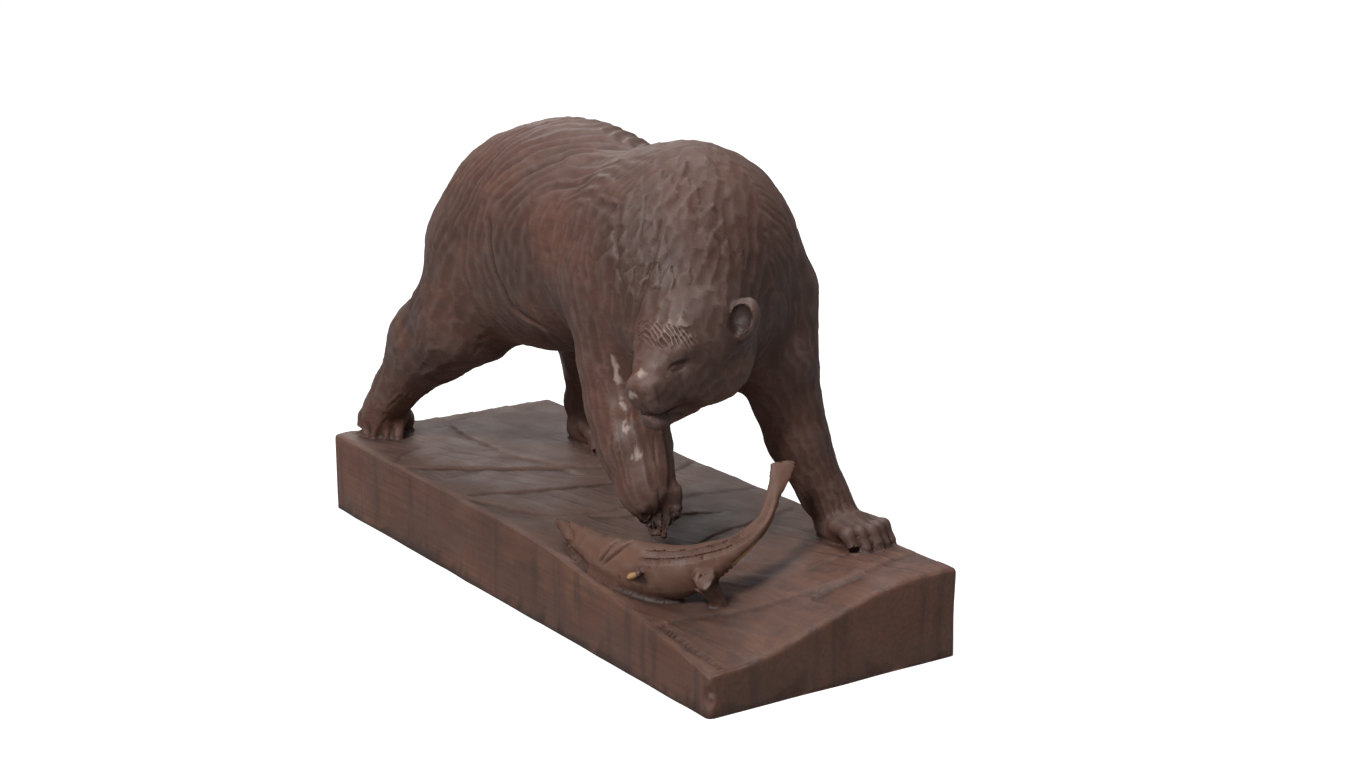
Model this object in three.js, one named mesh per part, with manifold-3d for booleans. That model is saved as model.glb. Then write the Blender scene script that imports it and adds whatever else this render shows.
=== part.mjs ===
// A bear carved in one block of wood with its plinth, looking down at a fish under its raised paw.
// Millimetres, +Z up. The origin is the centre of the plinth's underside. The plinth is long in Y,
// the bear walks toward -Y, and its right side is at -X.
import * as THREE from 'three';
import Module from 'manifold-3d';

// Driving sizes of the block
const PLINTH_LENGTH = 530;
const PLINTH_WIDTH = 200;
const PLINTH_HEIGHT = 62;
const BACK_HEIGHT = 329;

// Sizes of the facets that the chisel leaves, by the fineness of what is carved
const BODY_FACET = 13;
const HEAD_FACET = 6.5;
const PAW_FACET = 7;
const TERRAIN_FACET = 17;

// Small vector tools on [x, y, z]
const add = (a, b) => [a[0] + b[0], a[1] + b[1], a[2] + b[2]];
const sub = (a, b) => [a[0] - b[0], a[1] - b[1], a[2] - b[2]];
const scale = (a, s) => [a[0] * s, a[1] * s, a[2] * s];
const dot = (a, b) => a[0] * b[0] + a[1] * b[1] + a[2] * b[2];
const cross = (a, b) => [a[1] * b[2] - a[2] * b[1], a[2] * b[0] - a[0] * b[2], a[0] * b[1] - a[1] * b[0]];
const unit = (a) => scale(a, 1 / Math.hypot(...a));
const clamp = (value, low, high) => Math.min(Math.max(value, low), high);
const mix = (a, b, t) => a + (b - a) * t;
const smoothstep = (low, high, value) => {
  const t = clamp((value - low) / (high - low), 0, 1);
  return t * t * (3 - 2 * t);
};

// Distances to simple masses, negative inside
function ball(point, centre, radius) {
  return Math.hypot(...sub(point, centre)) - radius;
}

function egg(point, centre, radii, axes) {
  const offset = sub(point, centre);
  const local = axes ? axes.map((axis) => dot(offset, axis)) : offset;
  const inRadii = local.map((value, i) => value / radii[i]);
  const steepness = Math.hypot(...inRadii.map((value, i) => value / radii[i]));
  const reach = Math.hypot(...inRadii);
  return steepness < 1e-9 ? -Math.min(...radii) : reach * (reach - 1) / steepness;
}

// A tapered round bar between two joints, each [centre, radius]
function bone(point, [from, fromRadius], [to, toRadius]) {
  const along = sub(to, from);
  const t = clamp(dot(sub(point, from), along) / dot(along, along), 0, 1);
  return ball(point, add(from, scale(along, t)), mix(fromRadius, toRadius, t));
}

function blend(a, b, width) {
  const near = Math.max(width - Math.abs(a - b), 0) / width;
  return Math.min(a, b) - near * near * width / 4;
}

function carveOut(a, b, width) {
  return -blend(-a, b, width);
}

// A limb: bones from joint to joint, blended a little at each joint
const JOINT_BLEND = 6;

function limb(point, joints) {
  let distance = Infinity;
  for (let i = 0; i + 1 < joints.length; i += 1) {
    distance = blend(distance, bone(point, joints[i], joints[i + 1]), JOINT_BLEND);
  }
  return distance;
}

// The bear's body, from rump to neck
function torso(point) {
  const rump = egg(point, [-1, 56, BACK_HEIGHT - 85], [74, 90, 85]);
  const haunches = egg(point, [1, 124, 222], [74, 89, 65]);
  const barrel = egg(point, [0, 0, BACK_HEIGHT - 81], [72, 110, 67]);
  const withers = egg(point, [6, -84, BACK_HEIGHT - 90], [82, 74, 89]);
  const chest = egg(point, [0, -108, 217], [54, 44, 41]);
  const neck = bone(point, [[-3, -80, 262], 56], [[-30, -142, 216], 40]);
  const tail = bone(point, [[0, 196, 252], 11], [[0, 220, 226], 7]);
  let distance = blend(rump, barrel, 30);
  distance = blend(distance, haunches, 34);
  distance = blend(distance, withers, 30);
  distance = blend(distance, chest, 20);
  distance = blend(distance, tail, 12);
  return blend(distance, neck, 20);
}

// Joints of the legs, each [place, radius]
const HIND_RIGHT_LEG = [
  [[-30, 110, 222], 52],
  [[-40, 140, 178], 43],
  [[-50, 177, 137], 34],
  [[-56, 212, 103], 22],
  [[-60, 237, 80], 17],
];
const HIND_LEFT_LEG = [
  [[36, 104, 222], 48],
  [[48, 120, 172], 33],
  [[61, 134, 124], 21],
  [[64, 142, 90], 18],
  [[64, 138, 72], 16],
];
const FORE_RIGHT_LEG = [
  [[-38, -68, 235], 40],
  [[-43, -78, 188], 31],
  [[-45, -88, 155], 29],
  [[-51, -105, 130], 25],
  [[-54, -120, 108], 19],
];
const FORE_LEFT_LEG = [
  [[57, -108, 222], 35],
  [[50, -126, 180], 29],
  [[58, -142, 127], 21],
  [[71, -154, 90], 16],
  [[76, -166, 72], 15],
];
const LEG_BLEND = 12;

function legs(point) {
  const hind = Math.min(limb(point, HIND_RIGHT_LEG), limb(point, HIND_LEFT_LEG));
  const fore = Math.min(limb(point, FORE_RIGHT_LEG), limb(point, FORE_LEFT_LEG));
  return Math.min(hind, fore);
}

function body(point) {
  return blend(torso(point), legs(point), LEG_BLEND);
}

// A paw that stands flat, with five toes fanned out in front of its pad
const TOES = [-2, -1, 0, 1, 2];
const TOE_BLEND = 4;
const KNUCKLE_BLEND = 3;

function standingPaw(point, { heel, forward, length, width, height }) {
  const ahead = unit(forward);
  const across = cross([0, 0, 1], ahead);
  const at = (out, side, up) => add(heel, add(add(scale(ahead, out), scale(across, side)), [0, 0, up]));
  const padRadii = [length * 0.42, width * 0.44, height * 0.6];
  let distance = egg(point, at(length * 0.36, 0, height * 0.42), padRadii, [ahead, across, [0, 0, 1]]);
  for (const toe of TOES) {
    const reach = length - 3 * Math.abs(toe);
    const root = [at(reach * 0.55, toe * width * 0.16, height * 0.62), width * 0.13];
    const knuckle = [at(reach * 0.8, toe * width * 0.2, height * 0.55), width * 0.125];
    const tip = [at(reach - width * 0.1, toe * width * 0.21, width * 0.09), width * 0.1];
    const toeDistance = blend(bone(point, root, knuckle), bone(point, knuckle, tip), KNUCKLE_BLEND);
    distance = blend(distance, toeDistance, TOE_BLEND);
  }
  return distance;
}

// The head, turned to the bear's right. Its own frame runs forward, left and up from the nose tip.
const NOSE_TIP = [-90, -165, 184];
const HEAD_FORWARD = unit([-0.89, -0.34, -0.26]);
const HEAD_LEFT = unit(cross([0, 0, 1], HEAD_FORWARD));
const HEAD_UP = cross(HEAD_FORWARD, HEAD_LEFT);
const HEAD_AXES = [HEAD_FORWARD, HEAD_LEFT, HEAD_UP];
const BOTH_SIDES = [-1, 1];

function inHeadFrame(point) {
  const d = sub(point, NOSE_TIP);
  return HEAD_AXES.map((axis) => dot(d, axis));
}

function head(point) {
  const p = inHeadFrame(point);
  let distance = egg(p, [-74, 0, 8], [44, 39, 38]);
  distance = blend(distance, egg(p, [-52, 0, 20], [26, 24, 17]), 10);
  distance = blend(distance, bone(p, [[-44, 0, 0], 21], [[-14, 0, -1], 14]), 12);
  distance = blend(distance, bone(p, [[-46, 0, -22], 16], [[-15, 0, -18], 8]), 5);
  distance = blend(distance, egg(p, [-5, 0, 2], [7, 10, 7]), 3);
  for (const side of BOTH_SIDES) {
    distance = blend(distance, egg(p, [-62, side * 22, -8], [28, 18, 22]), 12);
    distance = blend(distance, egg(p, [-42, side * 15, 18], [10, 8, 6]), 8);
    distance = carveOut(distance, ball(p, [-38, side * 23, 9], 6), 6);
    distance = blend(distance, egg(p, [-41, side * 18, 9], [6, 4, 4]), 2);
  }
  return carveOut(distance, egg(p, [-18, 0, -12], [30, 26, 1.8]), 2);
}

function ears(point) {
  const p = inHeadFrame(point);
  let distance = Infinity;
  for (const side of BOTH_SIDES) {
    const cup = egg(p, [-82, side * 37, 22], [9, 12, 15]);
    const hollow = egg(p, [-73, side * 38, 23], [9, 7.5, 10]);
    distance = Math.min(distance, carveOut(cup, hollow, 2));
  }
  return distance;
}

const EAR_BLEND = 5;

function headWithEars(point) {
  return blend(head(point), ears(point), EAR_BLEND);
}

// The right forepaw hangs over the fish, its claws broken short
const RAISED_PAW = {
  wrist: [-53, -127, 110],
  across: unit([0.83, -0.56, 0]),
  down: unit([0.02, -0.42, -0.9]),
};

function raisedPaw(point) {
  const { wrist, across, down } = RAISED_PAW;
  const at = (out, side) => add(wrist, add(scale(down, out), scale(across, side)));
  let distance = egg(point, at(-2, 1), [21, 17, 24], [across, cross(down, across), down]);
  for (const toe of TOES) {
    const root = [at(10, toe * 6.5), 7];
    const tip = [at(23 - toe * 2, toe * 6), 4];
    distance = blend(distance, bone(point, root, tip), KNUCKLE_BLEND);
  }
  return distance;
}

// The fish: its spine bends round in front of the bear and its tail stands up
const FISH_SPINE = new THREE.CatmullRomCurve3([
  [-80, -52, 68], [-84, -95, 66], [-82, -143, 62], [-65, -180, 66],
  [-40, -197, 75], [-7, -193, 90], [15, -178, 109], [27, -168, 124],
].map((place) => new THREE.Vector3(...place)));
const FISH_STATIONS = 24;
const FISH_SIDES = 12;
// The side away from the bear's right, which turns as the fish bends
const FISH_FAR_SIDE = { head: [1, 0, 0.1], tail: [0.5, 0.85, -0.15] };
// Half height and half thickness from the snout to the tail's tip
const FISH_HEIGHTS = [3, 9, 13, 17, 21, 19, 16, 10, 7, 6, 8];
const FISH_WIDTHS = [3, 8, 12, 13, 14, 13, 11, 8, 5, 3.5, 2.5];

function valueAt(values, t) {
  const place = clamp(t, 0, 1) * (values.length - 1);
  const index = Math.min(Math.floor(place), values.length - 2);
  return mix(values[index], values[index + 1], place - index);
}

// A section of the fish at t along its spine, an oval
function fishSection(t) {
  const ahead = FISH_SPINE.getTangentAt(t).toArray();
  const farSide = [0, 1, 2].map((axis) => mix(FISH_FAR_SIDE.head[axis], FISH_FAR_SIDE.tail[axis], t));
  const across = unit(sub(farSide, scale(ahead, dot(farSide, ahead))));
  const up = cross(ahead, across);
  const centre = FISH_SPINE.getPointAt(t).toArray();
  const halfHeight = valueAt(FISH_HEIGHTS, t);
  const halfWidth = valueAt(FISH_WIDTHS, t);
  return Array.from({ length: FISH_SIDES }, (_, i) => {
    const angle = 2 * Math.PI * i / FISH_SIDES;
    const side = scale(across, halfWidth * Math.cos(angle));
    return add(centre, add(side, scale(up, halfHeight * Math.sin(angle))));
  });
}

// Steps of the grid along each axis, and the depth given to a corner that is filled
const STEPS = [[1, 0, 0], [0, 1, 0], [0, 0, 1]];
const FILLED = -0.3;

// Where two masses or two hollows would touch along a line, the nearer empty corner is filled, so
// that every edge of the skin has two sides
function fillPinches(values, [nx, ny, nz], node) {
  let filled = true;
  while (filled) {
    filled = false;
    for (let k = 0; k + 1 < nz; k += 1) {
      for (let j = 0; j + 1 < ny; j += 1) {
        for (let i = 0; i + 1 < nx; i += 1) {
          for (let axis = 0; axis < 3; axis += 1) {
            const [ui, uj, uk] = STEPS[(axis + 1) % 3];
            const [vi, vj, vk] = STEPS[(axis + 2) % 3];
            const square = [node(i, j, k), node(i + ui, j + uj, k + uk),
              node(i + ui + vi, j + uj + vj, k + uk + vk), node(i + vi, j + vj, k + vk)];
            const [a, b, c, d] = square.map((index) => values[index] < 0);
            if (a === c && b === d && a !== b) {
              const empty = a ? [square[1], square[3]] : [square[0], square[2]];
              const nearer = values[empty[0]] < values[empty[1]] ? empty[0] : empty[1];
              values[nearer] = FILLED;
              filled = true;
            }
          }
        }
      }
    }
  }
}

// Surface of a distance field as a closed mesh: one corner in every cell that the surface crosses,
// moved onto the surface, and one four-sided facet across every grid edge that it cuts
function facetField(field, low, high, cell) {
  const counts = low.map((value, axis) => Math.ceil((high[axis] - value) / cell) + 1);
  const [nx, ny, nz] = counts;
  const node = (i, j, k) => (k * ny + j) * nx + i;
  const place = (i, j, k) => [low[0] + i * cell, low[1] + j * cell, low[2] + k * cell];
  const values = new Float64Array(nx * ny * nz);
  for (let k = 0; k < nz; k += 1) {
    for (let j = 0; j < ny; j += 1) {
      for (let i = 0; i < nx; i += 1) {
        values[node(i, j, k)] = field(place(i, j, k));
      }
    }
  }
  fillPinches(values, counts, node);
  const corners = [];
  const cornerOf = new Int32Array(values.length).fill(-1);
  for (let k = 0; k + 1 < nz; k += 1) {
    for (let j = 0; j + 1 < ny; j += 1) {
      for (let i = 0; i + 1 < nx; i += 1) {
        const corner = cellCorner(values, node, place, i, j, k);
        if (corner) {
          cornerOf[node(i, j, k)] = corners.length;
          corners.push(ontoSurface(field, corner, cell));
        }
      }
    }
  }
  const triangles = [];
  for (let k = 1; k + 1 < nz; k += 1) {
    for (let j = 1; j + 1 < ny; j += 1) {
      for (let i = 1; i + 1 < nx; i += 1) {
        const here = values[node(i, j, k)];
        for (let axis = 0; axis < 3; axis += 1) {
          const there = values[node(i + STEPS[axis][0], j + STEPS[axis][1], k + STEPS[axis][2])];
          if ((here < 0) === (there < 0)) {
            continue;
          }
          const u = STEPS[(axis + 1) % 3];
          const v = STEPS[(axis + 2) % 3];
          const quad = [[0, 0], [1, 0], [1, 1], [0, 1]].map(([a, b]) => cornerOf[node(
            i - a * u[0] - b * v[0], j - a * u[1] - b * v[1], k - a * u[2] - b * v[2])]);
          if (here >= 0) {
            quad.reverse();
          }
          triangles.push(...splitQuad(quad, corners));
        }
      }
    }
  }
  return solid(corners.flat(), triangles);
}

function cellCorner(values, node, place, i, j, k) {
  const sum = [0, 0, 0];
  let crossings = 0;
  for (let axis = 0; axis < 3; axis += 1) {
    for (let side = 0; side < 4; side += 1) {
      const from = [i, j, k];
      from[(axis + 1) % 3] += side % 2;
      from[(axis + 2) % 3] += Math.floor(side / 2);
      const to = [...from];
      to[axis] += 1;
      const a = values[node(...from)];
      const b = values[node(...to)];
      if ((a < 0) !== (b < 0)) {
        const start = place(...from);
        const end = place(...to);
        const t = a / (a - b);
        for (let c = 0; c < 3; c += 1) {
          sum[c] += mix(start[c], end[c], t);
        }
        crossings += 1;
      }
    }
  }
  return crossings ? scale(sum, 1 / crossings) : null;
}

// A corner's steps along the field's slope, none longer than a share of the cell
const SURFACE_ROUNDS = 3;
const SLOPE_REACH = 0.3;
const LEAST_SLOPE = 0.2;
const STEP_SHARE = 0.3;

function ontoSurface(field, start, cell) {
  const longest = cell * STEP_SHARE;
  let corner = start;
  for (let round = 0; round < SURFACE_ROUNDS; round += 1) {
    const value = field(corner);
    const ahead = STEPS.map((step) => field(add(corner, scale(step, SLOPE_REACH))));
    const slope = ahead.map((other) => (other - value) / SLOPE_REACH);
    const move = -value / Math.max(dot(slope, slope), LEAST_SLOPE);
    corner = add(corner, scale(slope, clamp(move, -longest, longest)));
  }
  return corner;
}

function splitQuad([a, b, c, d], corners) {
  const first = Math.hypot(...sub(corners[a], corners[c]));
  const second = Math.hypot(...sub(corners[b], corners[d]));
  return first < second ? [a, b, c, a, c, d] : [a, b, d, b, c, d];
}

const wasm = await Module();
wasm.setup();

function solid(places, triangles) {
  return new wasm.Manifold(new wasm.Mesh({
    numProp: 3,
    vertProperties: new Float32Array(places),
    triVerts: new Uint32Array(triangles),
  }));
}

// A closed skin over a row of rings of equal length, with a flat fan over each end
function loft(rings) {
  const sides = rings[0].length;
  const middle = (points) => scale(points.reduce(add), 1 / points.length);
  const places = [...rings.flat(), middle(rings[0]), middle(rings.at(-1))];
  const startCap = rings.length * sides;
  const endCap = startCap + 1;
  const last = (rings.length - 1) * sides;
  const triangles = [];
  for (let i = 0; i < sides; i += 1) {
    const next = (i + 1) % sides;
    triangles.push(startCap, next, i, endCap, last + i, last + next);
    for (let row = 0; row < last; row += sides) {
      triangles.push(row + i, row + next, row + sides + next);
      triangles.push(row + i, row + sides + next, row + sides + i);
    }
  }
  return solid(places.flat(), triangles);
}

function fish() {
  return loft(Array.from({ length: FISH_STATIONS }, (_, i) => fishSection(i / (FISH_STATIONS - 1))));
}

// Stubs of the fins, each thinning from its root to its broken tip. The first one stands on the
// ground and holds the fish up.
const FINS = [
  { root: [-46, -184, 60], tip: [-40, -191, 36], chord: [7, -3, 2], widths: [8, 5], thickness: 4 },
  { root: [-88, -140, 62], tip: [-97, -152, 58], chord: [0, -6, -6], widths: [7, 5], thickness: 3 },
  { root: [-58, -186, 60], tip: [-63, -202, 60], chord: [7, -2, 3], widths: [8, 5], thickness: 3 },
  { root: [-26, -191, 88], tip: [-18, -182, 101], chord: [6, 1, 3], widths: [7, 3], thickness: 2.5 },
];
const FIN_SIDES = 6;

function fin({ root, tip, chord, widths, thickness }) {
  const out = unit(sub(tip, root));
  const wide = unit(sub(chord, scale(out, dot(chord, out))));
  const thin = cross(out, wide);
  const section = (centre, width) => Array.from({ length: FIN_SIDES }, (_, i) => {
    const angle = 2 * Math.PI * i / FIN_SIDES;
    const side = scale(wide, width / 2 * Math.cos(angle));
    return add(centre, add(side, scale(thin, thickness / 2 * Math.sin(angle))));
  });
  return loft([section(root, widths[0]), section(tip, widths[1])]);
}

// Height of the carved ground. It drops towards the front corner at the bear's right.
const GROUND_DROP = 33;

// Steps that broad gouge cuts leave in the ground: a line from one end to the other, the depth of
// the step on the line's right, and how far the cut runs before it is level again
const GROUND_CUTS = [
  { from: [-100, 150], to: [40, 60], depth: 3, run: 60 },
  { from: [-100, 60], to: [30, 20], depth: 3.5, run: 70 },
  { from: [-60, -20], to: [100, -40], depth: 2.5, run: 60 },
  { from: [-20, -120], to: [100, -95], depth: 2.5, run: 55 },
  { from: [-95, -195], to: [40, -235], depth: 3, run: 60 },
];

function cutDepth(x, y, { from, to, depth, run }) {
  const length = Math.hypot(to[0] - from[0], to[1] - from[1]);
  const ahead = [(to[0] - from[0]) / length, (to[1] - from[1]) / length];
  const share = ((x - from[0]) * ahead[0] + (y - from[1]) * ahead[1]) / length;
  const beside = (x - from[0]) * ahead[1] - (y - from[1]) * ahead[0];
  const ends = smoothstep(-0.15, 0.15, share) * (1 - smoothstep(0.8, 1.15, share));
  return beside > 0 && beside < run ? depth * ends * (1 - beside / run) : 0;
}

function groundHeight(x, y) {
  const across = clamp(x / PLINTH_WIDTH + 0.5, 0, 1);
  const ahead = clamp(-y / (PLINTH_LENGTH / 2), 0, 1);
  const drop = GROUND_DROP * (1 - smoothstep(0.05, 0.85, across)) * ahead ** 1.6;
  const edge = Math.max(Math.abs(x) / (PLINTH_WIDTH / 2), Math.abs(y) / (PLINTH_LENGTH / 2));
  const cuts = GROUND_CUTS.reduce((sum, cut) => sum + cutDepth(x, y, cut), 0);
  return PLINTH_HEIGHT - drop - cuts * (1 - smoothstep(0.85, 1, edge));
}

// The block under the ground: a grid of facets on top, straight sides and a flat underside
function plinth() {
  const columns = Math.round(PLINTH_WIDTH / TERRAIN_FACET);
  const rows = Math.round(PLINTH_LENGTH / TERRAIN_FACET);
  const places = [];
  for (const top of [true, false]) {
    for (let j = 0; j <= rows; j += 1) {
      for (let i = 0; i <= columns; i += 1) {
        const x = (i / columns - 0.5) * PLINTH_WIDTH;
        const y = (j / rows - 0.5) * PLINTH_LENGTH;
        places.push(x, y, top ? groundHeight(x, y) : 0);
      }
    }
  }
  const above = (i, j) => j * (columns + 1) + i;
  const below = (i, j) => (columns + 1) * (rows + 1) + above(i, j);
  const triangles = [];
  const facet = (a, b, c, d) => triangles.push(a, b, c, a, c, d);
  for (let j = 0; j < rows; j += 1) {
    for (let i = 0; i < columns; i += 1) {
      facet(above(i, j), above(i + 1, j), above(i + 1, j + 1), above(i, j + 1));
      facet(below(i, j), below(i, j + 1), below(i + 1, j + 1), below(i + 1, j));
    }
  }
  for (let i = 0; i < columns; i += 1) {
    facet(below(i, 0), below(i + 1, 0), above(i + 1, 0), above(i, 0));
    facet(below(i + 1, rows), below(i, rows), above(i, rows), above(i + 1, rows));
  }
  for (let j = 0; j < rows; j += 1) {
    facet(below(0, j + 1), below(0, j), above(0, j), above(0, j + 1));
    facet(below(columns, j), below(columns, j + 1), above(columns, j + 1), above(columns, j));
  }
  return solid(places, triangles);
}

const STANDING_PAWS = [
  { heel: [74, -153, 59], forward: [0.1, -1, 0], length: 57, width: 40, height: 21 },
  { heel: [-43, 254, 60], forward: [-0.85, -0.53, 0], length: 46, width: 42, height: 24 },
  { heel: [62, 154, 60], forward: [0, -1, 0], length: 68, width: 44, height: 26 },
];

// Room that each field is meshed in, from its low corner to its high one
const BODY_ROOM = { low: [-115, -215, 35], high: [120, 290, 350] };
const HEAD_ROOM = { low: [-120, -210, 120], high: [50, -60, 270] };
const RAISED_PAW_ROOM = { low: [-91, -172, 60], high: [-11, -92, 140] };
const PAW_ROOM = [85, 85, 50];

function facetPaw(paw) {
  const low = sub(paw.heel, PAW_ROOM);
  const high = add(paw.heel, PAW_ROOM);
  return facetField((point) => standingPaw(point, paw), low, high, PAW_FACET);
}

const masses = [
  facetField(body, BODY_ROOM.low, BODY_ROOM.high, BODY_FACET),
  facetField(headWithEars, HEAD_ROOM.low, HEAD_ROOM.high, HEAD_FACET),
  facetField(raisedPaw, RAISED_PAW_ROOM.low, RAISED_PAW_ROOM.high, PAW_FACET),
  fish(),
  ...FINS.map(fin),
  ...STANDING_PAWS.map(facetPaw),
];
const whole = masses.reduce((sum, mass) => sum.add(mass), plinth());

const woodMaterial = new THREE.MeshStandardMaterial({ color: 0x5c4039, roughness: 0.55 });

function meshFrom(manifold, name, material) {
  const { vertProperties, triVerts, numProp } = manifold.getMesh();
  const places = new Float32Array((vertProperties.length / numProp) * 3);
  for (let i = 0; i < places.length / 3; i += 1) {
    places.set(vertProperties.subarray(i * numProp, i * numProp + 3), i * 3);
  }
  const geometry = new THREE.BufferGeometry();
  geometry.setAttribute('position', new THREE.BufferAttribute(places, 3));
  geometry.setIndex([...triVerts]);
  geometry.computeVertexNormals();
  const mesh = new THREE.Mesh(geometry, material);
  mesh.name = name;
  return mesh;
}

const carving = new THREE.Group();
carving.add(meshFrom(whole, 'bear_with_fish_on_plinth', woodMaterial));

export default carving;
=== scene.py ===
# A bear carved in one block of wood with its plinth, looking down at a fish under its raised paw.
# The imported frame is one solid. Here a copy of it is remeshed finely, drawn onto the carver's full
# forms and cut with gouge strokes, and then takes its stained and worn finish, with shade and highlights
# painted into its colour.
# Sizes on the carving are in millimetres in the frame's axes, and the meshes are in metres.
import math
from functools import partial

import bpy
import numpy as np
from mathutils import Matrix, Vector


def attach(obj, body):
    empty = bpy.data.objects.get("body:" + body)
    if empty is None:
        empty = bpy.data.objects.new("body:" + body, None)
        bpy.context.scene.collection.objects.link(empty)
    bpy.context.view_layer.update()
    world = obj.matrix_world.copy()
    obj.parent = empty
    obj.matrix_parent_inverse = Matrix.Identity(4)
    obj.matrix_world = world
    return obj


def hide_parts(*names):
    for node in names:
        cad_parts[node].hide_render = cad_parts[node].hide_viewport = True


MM = 0.001
SEED = 41

# Driving sizes of the block
PLINTH_LENGTH = 530.0
PLINTH_WIDTH = 200.0
PLINTH_HEIGHT = 62.0
BACK_HEIGHT = 329.0

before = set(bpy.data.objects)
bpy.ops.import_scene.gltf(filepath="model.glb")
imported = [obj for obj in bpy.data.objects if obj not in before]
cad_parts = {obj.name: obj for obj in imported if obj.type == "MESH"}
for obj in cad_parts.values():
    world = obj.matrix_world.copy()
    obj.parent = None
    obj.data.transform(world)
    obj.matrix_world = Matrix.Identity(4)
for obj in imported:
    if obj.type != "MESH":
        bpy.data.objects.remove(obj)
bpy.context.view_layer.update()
bpy.ops.object.select_all(action="DESELECT")


# Small tools on arrays of points
def unit(vector):
    vector = np.asarray(vector, float)
    return vector / np.maximum(np.linalg.norm(vector, axis=-1, keepdims=True), 1e-9)


def smoothstep(low, high, value):
    t = np.clip((value - low) / (high - low), 0.0, 1.0)
    return t * t * (3.0 - 2.0 * t)


NOISE_WAVES = 5
NOISE_RANGE = 2.6
ANY_PHASE = 6.3


def noise(points, pitch, seed):
    """A smooth wandering value from about -1 to 1, changing over the given pitch."""
    chance = np.random.default_rng(SEED + seed)
    total = np.zeros(len(points))
    for _ in range(NOISE_WAVES):
        direction = unit(chance.normal(size=3))
        other = unit(chance.normal(size=3))
        rate = 2.0 * math.pi / (pitch * chance.uniform(0.7, 1.5))
        bend = np.sin(points @ other * rate * 0.61 + chance.uniform(0.0, ANY_PHASE))
        total += np.sin(points @ direction * rate + 1.4 * bend + chance.uniform(0.0, ANY_PHASE))
    return total / NOISE_RANGE


# Distances to simple masses, negative inside
FAR_AWAY = 1e3


def ball(points, centre, radius):
    return np.linalg.norm(points - centre, axis=1) - radius


def egg(points, centre, radii, axes=None):
    local = points - np.asarray(centre, float)
    if axes is not None:
        local = local @ np.asarray(axes).T
    in_radii = local / np.asarray(radii, float)
    reach = np.linalg.norm(in_radii, axis=1)
    steepness = np.linalg.norm(in_radii / np.asarray(radii, float), axis=1)
    return reach * (reach - 1.0) / np.maximum(steepness, 1e-6)


def bone(points, start, end):
    """A tapered round bar between two joints, each (centre, radius)."""
    (from_point, from_radius), (to_point, to_radius) = start, end
    along = np.subtract(to_point, from_point).astype(float)
    share = np.clip((points - from_point) @ along / (along @ along), 0.0, 1.0)
    centre = np.asarray(from_point, float) + share[:, None] * along
    return np.linalg.norm(points - centre, axis=1) - (from_radius + (to_radius - from_radius) * share)


def blend(a, b, width):
    near = np.maximum(width - np.abs(a - b), 0.0) / width
    return np.minimum(a, b) - near * near * width / 4.0


def carve_out(a, b, width):
    return -blend(-a, b, width)


def limb(points, joints, width=6.0):
    distance = bone(points, joints[0], joints[1])
    for start, end in zip(joints[1:-1], joints[2:]):
        distance = blend(distance, bone(points, start, end), width)
    return distance


# The bear's body, from rump to neck
def torso(points):
    rump = egg(points, (-1, 56, BACK_HEIGHT - 85), (74, 90, 85))
    haunches = egg(points, (1, 124, 222), (74, 89, 65))
    loin = egg(points, (-3, 99, 240), (68, 85, 78))
    barrel = egg(points, (0, 0, BACK_HEIGHT - 81), (72, 110, 67))
    withers = egg(points, (6, -84, BACK_HEIGHT - 90), (82, 74, 89))
    chest = egg(points, (0, -108, 217), (54, 44, 41))
    neck = bone(points, ((-3, -80, 262), 56), ((-30, -142, 216), 40))
    tail = bone(points, ((0, 196, 252), 11), ((0, 220, 226), 7))
    distance = blend(rump, barrel, 30)
    distance = blend(distance, haunches, 34)
    distance = blend(distance, withers, 30)
    distance = blend(distance, loin, 12)
    distance = blend(distance, chest, 20)
    distance = blend(distance, tail, 12)
    return blend(distance, neck, 20)


# Joints of the legs, each (place, radius)
HIND_RIGHT_LEG = (
    ((-30, 110, 222), 52),
    ((-40, 140, 178), 43),
    ((-52, 182, 146), 34),
    ((-63.5, 218, 105), 18.5),
    ((-66, 240, 79), 18.5),
)
HIND_LEFT_LEG = (
    ((36, 104, 222), 48),
    ((48, 120, 172), 33),
    ((61, 134, 124), 21),
    ((64, 142, 90), 18),
    ((64, 138, 72), 16),
)
FORE_RIGHT_LEG = (
    ((-38, -68, 235), 40),
    ((-43, -78, 188), 31),
    ((-45, -88, 155), 29),
    ((-51, -105, 130), 25),
    ((-54, -120, 108), 19),
)
FORE_LEFT_LEG = (
    ((57, -108, 222), 35),
    ((50, -126, 180), 29),
    ((58, -142, 127), 21),
    ((71, -154, 90), 16),
    ((76, -166, 72), 15),
)

LEGS = {
    "hind_right": HIND_RIGHT_LEG,
    "hind_left": HIND_LEFT_LEG,
    "fore_right": FORE_RIGHT_LEG,
    "fore_left": FORE_LEFT_LEG,
}

# A paw that stands flat, with five toes fanned out in front of its pad
TOES = (-2, -1, 0, 1, 2)
STANDING_PAWS = (
    {"heel": (74, -153, 59), "forward": (0.1, -1, 0), "length": 57, "width": 40, "height": 21},
    {"heel": (-43, 254, 60), "forward": (-0.85, -0.53, 0), "length": 46, "width": 42, "height": 24},
    {"heel": (62, 154, 60), "forward": (0, -1, 0), "length": 68, "width": 44, "height": 26},
)


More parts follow.
